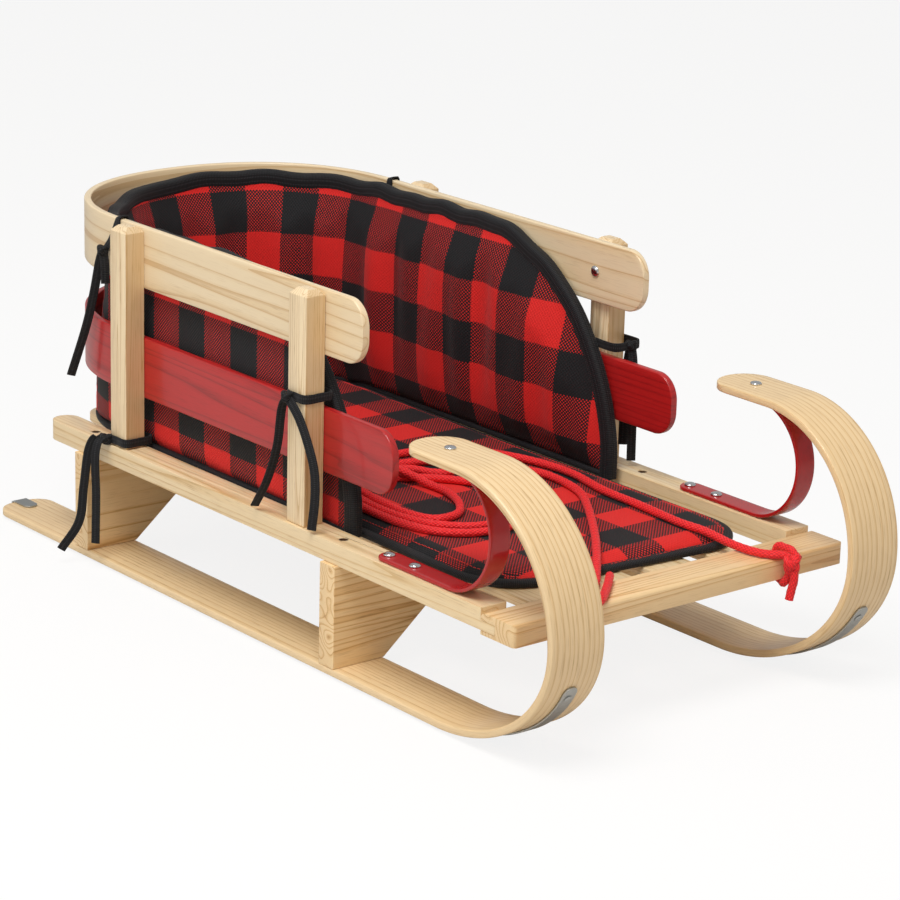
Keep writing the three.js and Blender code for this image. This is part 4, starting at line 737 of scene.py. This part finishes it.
# voxel: the cloth's mesh; pressure: how hard it is blown up; cap: the most that a point moves
seatPad = {"half": 0.135, "front": 0.2845, "corner": 0.050, "draw": 0.002, "bottom": 0.1063,
           "skewFrom": 0.12, "skew": 0.08, "ceiling": 0.1181, "inset": 0.001,
           "voxel": 0.004, "pressure": 3.0, "cap": 0.0025,
           "tapeInset": 0.0050, "tapeUp": 0.0032, "tapeIn": 0.0054}
backPad = {"outer": 0.14555, "bend": 0.1425, "bottom": 0.1100, "height": 0.2025, "drop": 0.004,
           "dropOver": 0.3055, "crest": -0.0795, "nose": 0.1075, "noseHeight": 0.026, "wing": 0.187,
           "rim": 0.009, "belly": 0.009, "fold": 0.0020, "inset": 0.001, "voxel": 0.005, "pressure": 4.0,
           "cap": 0.004,
           "outerShift": (0.0, 0.0396), "slack": (0.0105, 0.009, -0.006), "slackPlace": (-0.330, -0.105),
           "slackReach": 0.060, "ripple": 0.0009,
           "tapeHalf": 0.0078, "tapeThrough": 0.0056, "tapeOver": 0.0014, "hemHalf": 0.0030,
           "hemThrough": 0.0052, "hemBack": 0.004, "hemDown": 0.0004, "swell": 0.4, "under": 0.0007,
           "swellFrom": 0.0006}


def puff(piece, size, keep, frames=20):
    # cloth blown up from inside for some frames; no point moves further than the cap
    remesh = piece.modifiers.new("even cloth", "REMESH")
    remesh.mode, remesh.voxel_size = "VOXEL", size["voxel"]
    graph = bpy.context.evaluated_depsgraph_get()
    mesh = bpy.data.meshes.new_from_object(piece.evaluated_get(graph))
    piece.modifiers.clear()
    mesh.materials.clear()
    mesh.materials.append(piece.data.materials[0])
    piece.data = mesh
    start = np.empty(len(mesh.vertices) * 3, np.float32)
    mesh.vertices.foreach_get("co", start)
    start = start.reshape(-1, 3)
    moved = start.copy()
    cloth = piece.modifiers.new("cloth", "CLOTH")
    cloth.settings.quality = 5
    cloth.settings.use_pressure = True
    cloth.settings.uniform_pressure_force = size["pressure"]
    cloth.settings.tension_stiffness = cloth.settings.compression_stiffness = 20
    cloth.settings.effector_weights.gravity = 0
    cloth.point_cache.frame_start, cloth.point_cache.frame_end = 1, frames
    for step in range(1, frames + 1):
        bpy.context.scene.frame_set(step)
    graph = bpy.context.evaluated_depsgraph_get()
    swollen = piece.evaluated_get(graph).data
    moved = np.empty(len(mesh.vertices) * 3, np.float32)
    swollen.vertices.foreach_get("co", moved)
    moved = moved.reshape(-1, 3)
    piece.modifiers.clear()
    bpy.context.scene.frame_set(1)
    shift = moved - start
    length = np.linalg.norm(shift, axis=1, keepdims=True)
    moved = start + shift * np.minimum(1, size["cap"] / np.maximum(length, 1e-9))
    moved = keep(moved)
    mesh.vertices.foreach_set("co", moved.astype(np.float32).ravel())
    mesh.shade_smooth()
    mesh.update()
    return moved


def seatOutline(half, count=420):
    # the seat seen from above: rounded rear, sides drawn in a little, round front corners
    c = seatPad["corner"]
    bend = bendLine(0.0, half, band["bend"] - band["half"] + half)[0]
    rear = bend[bend[:, 0] <= band["bendX"] + 0.002][:, :2]
    t = np.linspace(0.02, 0.98, 60)
    x = band["bendX"] + (seatPad["front"] - c - band["bendX"]) * t
    y = seatPad["draw"] * np.sin(np.pi * t) - half
    a = np.linspace(0, np.pi / 2, 24)
    cornerX = seatPad["front"] - c * (1 - np.sin(a))
    cornerY = c * (1 - np.cos(a)) - half
    nearSide = np.stack([np.concatenate([x, cornerX]), np.concatenate([y, cornerY])], -1)
    farSide = (nearSide * [1, -1])[::-1]
    loop = np.concatenate([rear, nearSide, farSide, rear[:1]])
    # the cushion's front lies a little askew, further forward on the sled's left
    ahead = np.clip((loop[:, 0] - seatPad["skewFrom"]) / (seatPad["front"] - seatPad["skewFrom"]), 0, 1)
    loop[:, 0] += seatPad["skew"] * loop[:, 1] * ahead
    marks = marksOf(loop)
    return atMarks(loop, marks, np.linspace(0, marks[-1], count + 1)[:-1])


def betweenSlatsAndRope(p):
    return np.stack([p[:, 0], p[:, 1], np.clip(p[:, 2], seatPad["bottom"], seatPad["ceiling"])], -1)


# rows from the middle of the underside round the edge to the middle of the top:
# share of the way in to the spine, and height in metres
outline = seatOutline(seatPad["half"] - seatPad["inset"])
profile = np.array([
    (0.9, 0), (0.5, 0), (0.2, 0), (0.08, 0), (0.03, 0), (0.008, 0.0008), (0, 0.002), (0, 0.0036),
    (0.008, 0.0050), (0.03, 0.0064), (0.07, 0.0080), (0.14, 0.0094), (0.3, 0.0106), (0.6, 0.0111),
    (0.9, 0.0111)])
inShare, lift = profile[:, :1, None], profile[:, 1]
spineX = np.clip(outline[:, 0], band["bendX"], seatPad["front"] - seatPad["half"])
spine = np.stack([spineX, np.zeros(len(outline))], -1)
flatRows = outline[None] * (1 - inShare) + spine[None] * inShare
level = np.broadcast_to((seatPad["bottom"] + lift)[:, None, None], (*flatRows.shape[:2], 1))
cushion = gridMesh(np.concatenate([flatRows, level], -1), np.zeros(len(outline) + 1), lift)
seatPiece = makePiece("seat_pad_plaid", [cushion], seatPlaid, ["seat_pad"])
puff(seatPiece, seatPad, betweenSlatsAndRope)


def backHeight(x):
    b = backPad
    reach = np.clip((x - b["crest"]) / (b["nose"] - b["crest"]), 0, 1)
    front = np.maximum(b["noseHeight"], b["height"] * np.sqrt(1 - reach**2))
    return np.where(x > b["crest"], front, b["height"] - b["drop"] * (b["crest"] - x) / b["dropOver"])


def loosened(p):
    # the pad hangs away from the bands at its right rear bend, and its top edge ripples:
    # shift = slack * exp(-d^2 / (2 reach^2)) * (height share)^1.5
    b = backPad
    far = (p[..., 0] - b["slackPlace"][0]) ** 2 + (p[..., 1] - b["slackPlace"][1]) ** 2
    high = np.clip((p[..., 2] - b["bottom"]) / b["height"], 0, 1.1) ** 1.5
    share = np.exp(-far / (2 * b["slackReach"] ** 2)) * high
    waves = np.sin(71 * p[..., 0] + 83 * p[..., 1]) + np.sin(131 * p[..., 0] - 47 * p[..., 1] + 1.0)
    moved = p + share[..., None] * np.array(b["slack"])
    moved[..., 2] += b["ripple"] * waves * high
    return moved


def backStations(outer):
    # stations down the near wing, round the rear and up the far wing, closest where the top curves
    path, through = bendLine(backPad["nose"], outer, backPad["bend"] - backPad["outer"] + outer)
    marks = marksOf(path)
    wing = backPad["wing"]
    share = 1 - np.cos(np.linspace(0, np.pi / 2, 60))
    between = np.linspace(wing, marks[-1] - wing, 200)[:-1]
    wanted = np.concatenate([wing * share[:-1], between, marks[-1] - wing * share[::-1]])
    return atMarks(path, marks, wanted), unit(atMarks(through, marks, wanted)), wanted


# a cut through the pad, up the outside and down the inside: shares of the rim, the belly and the height
section = np.array([
    (0.15, 0, 0), (0, 0, 0.03), (0, 0, 0.2), (0, 0, 0.5), (0, 0, 0.8), (0, 0, 0.97), (0.15, 0, 1),
    (0.8, 0, 1), (1, 0, 0.975), (1, 0.08, 0.93), (1, 0.45, 0.86), (1, 0.78, 0.77), (1, 0.95, 0.66),
    (1, 1, 0.55), (1, 1, 0.45), (1, 0.92, 0.33), (1, 0.75, 0.22), (1, 0.45, 0.13), (1, 0.1, 0.07),
    (1, 0, 0.02), (0.8, 0, 0)])
stations, inward, stationMarks = backStations(backPad["outer"] - backPad["inset"])
heights = backHeight(stations[:, 0])
full = heights / backPad["height"]
# upright creases: waves per metre, phase, slant
creases = sum(np.sin(2 * np.pi * stationMarks[:, None] * f + p + q * section[None, :, 2]) for f, p, q in
              ((9.1, 0.4, 2.1), (15.7, 2.2, -3.0), (23.3, 4.0, 1.3)))
belly = (backPad["belly"] + backPad["fold"] * creases) * full[:, None]
depth = section[None, :, 0] * backPad["rim"] + section[None, :, 1] * belly
rows = stations[:, None] + inward[:, None] * depth[:, :, None]
rows[:, :, 2] = backPad["bottom"] + section[None, :, 2] * heights[:, None]
rows = loosened(rows)
cushion = gridMesh(rows, np.zeros(len(section) + 1), stationMarks)
backPiece = makePiece("back_pad_plaid", [cushion], backPlaid, ["back_pad"])


def insideBands(p):
    # the pad's outside stays off the bands: distances are taken in the squarish plan of the rear bend
    x = np.abs(np.minimum(p[:, 0] - band["bendX"], 0) / backPad["bend"])
    y = np.abs(p[:, 1] / backPad["outer"])
    k = (x ** band["power"] + y ** band["power"]) ** (1 / band["power"])
    shrink = np.where(k > 1, 1 / k, 1)
    inBend = p[:, 0] < band["bendX"]
    px = np.where(inBend, band["bendX"] + (p[:, 0] - band["bendX"]) * shrink, p[:, 0])
    return np.stack([px, p[:, 1] * shrink, np.maximum(p[:, 2], backPad["bottom"])], -1)


def nearestOf(points, line):
    # the index of the nearest point of a line, worked out in blocks to spare memory
    blocks = np.array_split(points, 60)
    return np.concatenate([np.argmin(((block[:, None] - line[None]) ** 2).sum(-1), 1) for block in blocks])


placed = puff(backPiece, backPad, insideBands)
# the plaid follows the pad round the bend: (distance round, height) of each point, from its nearest station
ring = stations[:, :2]
nearest = nearestOf(placed[:, :2], ring)
attributes = backPiece.data.attributes
lay = attributes.get("grain") or attributes.new("grain", "FLOAT_VECTOR", "POINT")
offset = placed[:, :2] - ring[nearest]
tangent = np.stack([inward[nearest][:, 1], -inward[nearest][:, 0]], -1)
# a point is on the outer cloth when, without its slack, it lies in the outer half of the pad's edge
taut = 2 * placed - loosened(placed)
outside = ((taut[:, :2] - ring[nearest]) * inward[nearest][:, :2]).sum(1) < backPad["rim"] / 2
# the outer cloth is cut from another part of the same plaid
shift = np.where(outside[:, None], backPad["outerShift"], 0.0)
along = stationMarks[nearest] + (offset * tangent).sum(1)
grain = np.stack([along + shift[:, 0], placed[:, 2] + shift[:, 1], np.zeros(len(placed))], -1)
lay.data.foreach_set("vector", grain.astype(np.float32).ravel())
print("pad line", round(float(stationMarks[-1]), 4), "m round")

# bindings: ribbed tape folded over each pad's edge
edge = seatOutline(seatPad["half"] - seatPad["tapeInset"])
edge = np.concatenate([edge, edge[:2]])
edgePath = np.c_[edge, np.full(len(edge), seatPad["bottom"] + seatPad["tapeUp"])]
seatBinding = sweep(edgePath, up, seatPad["tapeUp"], seatPad["tapeIn"], cols=20, power=2.8)
makePiece("seat_pad_binding", [seatBinding], blackBinding)
b = backPad
inset = b["tapeHalf"] - b["tapeOver"]
a = np.arccos(np.linspace(b["noseHeight"] / b["height"], 1, 60))
noseX = b["crest"] + (b["nose"] - inset - b["crest"]) * np.sin(np.linspace(a[0], 0, 60))
noseZ = b["bottom"] + (b["height"] - inset) * np.cos(np.linspace(a[0], 0, 60))
sideY = b["outer"] - b["rim"] / 2
rearPath, _ = bendLine(b["crest"], sideY, b["bend"] - b["rim"] / 2)
rearZ = b["bottom"] - inset + backHeight(rearPath[:, 0])
wing = np.stack([noseX, np.full(60, sideY), noseZ], -1)
foot = [noseX[0], sideY, b["bottom"]]
loop = np.concatenate([[foot], wing[:-1], np.c_[rearPath[:, :2], rearZ][1:-1], (wing * [1, -1, 1])[::-1][1:],
                       [[foot[0], -foot[1], foot[2]]]])
marks = marksOf(loop)
loop = atMarks(loop, marks, np.linspace(0, marks[-1], 700))
kernel = np.ones(9) / 9
loop[4:-4] = np.stack([np.convolve(loop[:, k], kernel, "valid") for k in range(3)], -1)
lowPath, _ = bendLine(b["nose"] - b["hemBack"], sideY, b["bend"] - b["rim"] / 2)
hem = np.c_[lowPath[:, :2], np.full(len(lowPath), b["bottom"] + b["hemHalf"] - b["hemDown"])]


def tapeLean(line):
    # the direction through the pad, inwards from the bands
    bent = np.maximum(band["bendX"] - line[:, 0], 0) / backPad["bend"]
    y = line[:, 1]
    inX = bent ** (band["power"] - 1) / backPad["bend"]
    inY = -np.sign(y) * (np.abs(y) / backPad["outer"]) ** (band["power"] - 1) / backPad["outer"]
    return np.stack([inX, inY, np.zeros(len(line))], -1)


loop, hem = loosened(loop), loosened(hem)
lean = tapeLean(loop)
binding = sweep(loop, lean, b["tapeThrough"], b["tapeHalf"], cols=24, power=3.6)
makePiece("back_pad_binding", [binding], blackBinding)
lowBinding = sweep(hem, tapeLean(hem), b["hemThrough"], b["hemHalf"], cols=16, power=3.0)
makePiece("back_pad_hem", [lowBinding], blackBinding)
# the seam: the cloth is no thicker than the tape beneath it, and swells from its edge
closest = nearestOf(placed, loop)
away = placed - loop[closest]
through = (away * unit(lean[closest])).sum(1)
inPlane = np.sqrt(np.maximum((away**2).sum(1) - through**2, 0))
most = b["tapeThrough"] - b["under"] + b["swell"] * np.maximum(inPlane - b["tapeHalf"] + b["swellFrom"], 0)
placed = placed - unit(lean[closest]) * np.maximum(through - most, 0)[:, None]
backPiece.data.vertices.foreach_set("co", placed.astype(np.float32).ravel())
backPiece.data.update()
# a line of red stitches round the seat pad, each stitch a short rod pressed into the cloth
stitch = {"inset": 0.0125, "pitch": 0.0042, "length": 0.0029, "radius": 0.00033, "sunk": 0.0003,
          "proud": 0.0001, "from": -0.05, "topFrom": 0.006, "first": 0.002, "last": 0.004}
seam = seatOutline(seatPad["half"] - stitch["inset"], 2000)
seam = seam[seam[:, 0] > stitch["from"]]
seatMesh = seatPiece.data
seatPoints = np.empty(len(seatMesh.vertices) * 3, np.float32)
seatMesh.vertices.foreach_get("co", seatPoints)
seatPoints = seatPoints.reshape(-1, 3)
seatTop = seatPoints[seatPoints[:, 2] > seatPad["bottom"] + stitch["topFrom"]]
seamMarks = marksOf(seam)
starts = np.arange(stitch["first"], seamMarks[-1] - stitch["last"], stitch["pitch"])
rods = []
for start in starts:
    ends = atMarks(seam, seamMarks, np.array([start, start + stitch["length"] / 2, start + stitch["length"]]))
    high = [seatTop[np.argmin(((seatTop[:, :2] - spot) ** 2).sum(1)), 2] for spot in ends]
    level = float(np.median(high))
    rod = np.c_[ends, [level - stitch["sunk"], level + stitch["proud"], level - stitch["sunk"]]]
    rods.append(sweep(rod, up, stitch["radius"], stitch["radius"], cols=6))
makePiece("seat_pad_stitches", rods, redThread)
print(len(rods), "stitches")
print("pads made")

# Ties: flat webbing with tied knots

# the webbing and its knots in metres; the loop round a post in millimetres
tie = {"half": 0.004, "through": 0.0009, "step": 0.002, "wrap": (2.6, 3.4, 3.4), "wrapHalf": 0.0024,
       "turn": (1.4, 4.3, 2.2), "turnHalf": 0.0021, "inner": 146.9, "middle": 160, "outer": 175.8,
       "behind": 13.2, "round": 3}
# tails: shares of the reach and of the drop
longShares = [(0, 0), (0.21, -0.01), (0.35, 0.07), (0.49, 0.42), (0.6, 0.74), (1, 1)]
shortShares = [(0, 0), (0.58, 0), (0.92, 0.1), (0.92, 0.54), (1, 1)]
arcShares = [(0, 0), (0.4, 0.13), (0.74, 0.32), (0.97, 0.52), (1, 0.74), (0.9, 1)]
slantShares = [(0, 0), (0.14, 0.09), (0.3, 0.44), (0.61, 0.75), (1, 1)]
looseShares = [(0, 0), (0.5, 0.12), (0.83, 0.48), (1, 1)]
bandShares = [(0, 0), (0.09, 0.08), (0.26, 0.31), (0.48, 0.56), (1, 1)]
endShares = [(0, 0), (0.75, 0.33), (1, 1)]
# millimetres, as on the sled's left; each tail has a reach, a drop, its shares and a lean
rearTie = {"x": -200.5, "z": 121.8, "reach": 13.2, "knot": (-212.65, 179.95, 121.8),
           "tails": [((-33, 27.55), 108, longShares, (0.63, -0.77, 0.15)),
                     ((0, 12), 96, shortShares, (0.8, -0.6, 0.1))]}
bandTie = {"strap": [(-228.5, 147.3, 306), (-228.5, 147.3, 313), (-228.5, 148.3, 317.4),
                     (-228.5, 151.8, 317.7), (-228.5, 155.2, 317.4), (-229, 156.2, 313),
                     (-232.5, 156.2, 306), (-239.5, 156.2, 295), (-246.5, 157.2, 286)],
           "lean": (1, 0, 0.35), "knot": (-246.5, 160.4, 285.2),
           "tails": [((-54, 0), 128, bandShares, (0.63, -0.77, 0.25)),
                     ((4, 0), 30, endShares, (0.4, -0.9, 0))]}
frontTies = {"right": {"x": 64.5, "z": 226.2, "reach": 13.2, "knot": (58.4, 179.95, 226.2),
                       "tails": [((40, 0), 106, arcShares, (0.75, -0.5, 0.4)),
                                 ((-44, 0), 106, slantShares, (0.3, -0.95, 0))]},
             "left": {"x": 64.5, "z": 226.2, "reach": 32.2, "knot": (96.65, 165.0, 226.2),
                      "tails": [((6, 0), 104, looseShares, (0.63, 0.77, 0)),
                                ((-6, 0), 92, looseShares, (0.63, 0.77, 0))]}}


def flatStrap(places, lean):
    path = smoothLine(places, tie["step"])
    return sweep(path, np.asarray(lean, float), tie["half"], tie["through"], power=3.2)


def mirrored(p, side):
    return (p[0], side * p[1], *p[2:])


def postLoop(own, side):
    # webbing round a post, from the pad and back; it lies flat on the post
    x, z, r = own["x"], own["z"], tie["round"]
    inner, middle, outer = tie["inner"], tie["middle"], tie["outer"]
    rear, front = x - tie["behind"], x + own["reach"]
    ring = [(x, inner), (front - r, inner), (front, inner + r), (front, middle), (front, outer - r),
            (front - r, outer), (x, outer), (rear + r, outer), (rear, outer - r), (rear, middle),
            (rear, inner + r), (rear + r, inner), (x, inner)]
    return flatStrap([(px, side * py, z) for px, py in ring], up)


def tied(name, strap, own, side):
    # a strap with its knot and its tails
    k = mirrored(own["knot"], side)
    parts = [strap, threeTurnKnot(k, tie["wrap"], tie["wrapHalf"], (0.004, 0.001, 0.0)),
             threeTurnKnot(k, tie["turn"], tie["turnHalf"], (0.0, 0.004, 0.001))]
    for reach, drop, shares, lean in own["tails"]:
        reach = mirrored(reach, side)
        places = [(k[0] + reach[0] * s, k[1] + reach[1] * s, k[2] - drop * d) for s, d in shares]
        parts.append(flatStrap(places, mirrored(lean, side)))
    makePiece(name + "_webbing", parts, blackWebbing, [name])


for name, side in sides.items():
    tied(f"tie_rear_{name}", postLoop(rearTie, side), rearTie, side)
    strap = [mirrored(place, side) for place in bandTie["strap"]]
    tied(f"tie_band_{name}", flatStrap(strap, bandTie["lean"]), bandTie, side)
for name, own in frontTies.items():
    tied(f"tie_front_{name}", postLoop(own, sides[name]), own, sides[name])
print("ties made")

# Floor, light and background


def paleStage():
    # white to the camera, with the sled's soft shadow kept
    material, tree, shader = newMaterial("pale floor", Roughness=0.9, Base_Color=linear("#D9D6D2"))
    seen = addNode(tree, "LightPath")
    glow = addNode(tree, "Emission", {"Color": (1, 1, 1, 1), "Strength": 1.06}).outputs[0]
    share = addNode(tree, "Math", {0: seen.outputs["Is Camera Ray"], 1: 0.8}, operation="MULTIPLY").outputs[0]
    mixed = addNode(tree, "MixShader", {0: share, 1: shader.outputs[0], 2: glow}).outputs[0]
    tree.links.new(mixed, tree.nodes["Material Output"].inputs[0])
    return material


floorSize = {"half": 6, "below": 0.0005}
floorMesh = bpy.data.meshes.new("floor")
corners = [(x * floorSize["half"], y * floorSize["half"], -floorSize["below"])
           for x, y in ((-1, -1), (1, -1), (1, 1), (-1, 1))]
floorMesh.from_pydata(corners, [], [(0, 1, 2, 3)])
floorMesh.materials.append(paleStage())
floor = bpy.data.objects.new("floor", floorMesh)
bpy.context.scene.collection.objects.link(floor)
world = bpy.data.worlds.new("studio")
bpy.context.scene.world = world
world.use_nodes = True
tree = world.node_tree
seen = addNode(tree, "LightPath")
soft = addNode(tree, "Background", {"Color": (1, 1, 1, 1), "Strength": 0.42}).outputs[0]
white = addNode(tree, "Background", {"Color": (1, 1, 1, 1), "Strength": 1.0}).outputs[0]
tree.links.new(addNode(tree, "MixShader", {0: seen.outputs["Is Camera Ray"], 1: soft, 2: white}).outputs[0],
               tree.nodes["World Output"].inputs[0])


def areaLight(name, place, target, size, power, color="#FFFFFF"):
    light = bpy.data.lights.new(name, "AREA")
    light.shape, light.size, light.energy = "DISK", size, power
    light.color = linear(color)[:3]
    lamp = bpy.data.objects.new(name, light)
    bpy.context.scene.collection.objects.link(lamp)
    lamp.location = place
    lamp.rotation_euler = (Vector(target) - Vector(place)).to_track_quat("-Z", "Y").to_euler()


areaLight("high soft box", (0.7, -1.1, 2.6), (0, 0, 0.1), 1.5, 57)
areaLight("side soft box", (-0.7, -2.6, 1.3), (0, 0, 0.1), 1.4, 8)
areaLight("front soft box", (2.6, 0.3, 1.5), (0, 0, 0.15), 1.4, 4, "#FFD9A8")
bpy.context.scene.view_settings.view_transform = "Standard"
print("stage and light made")
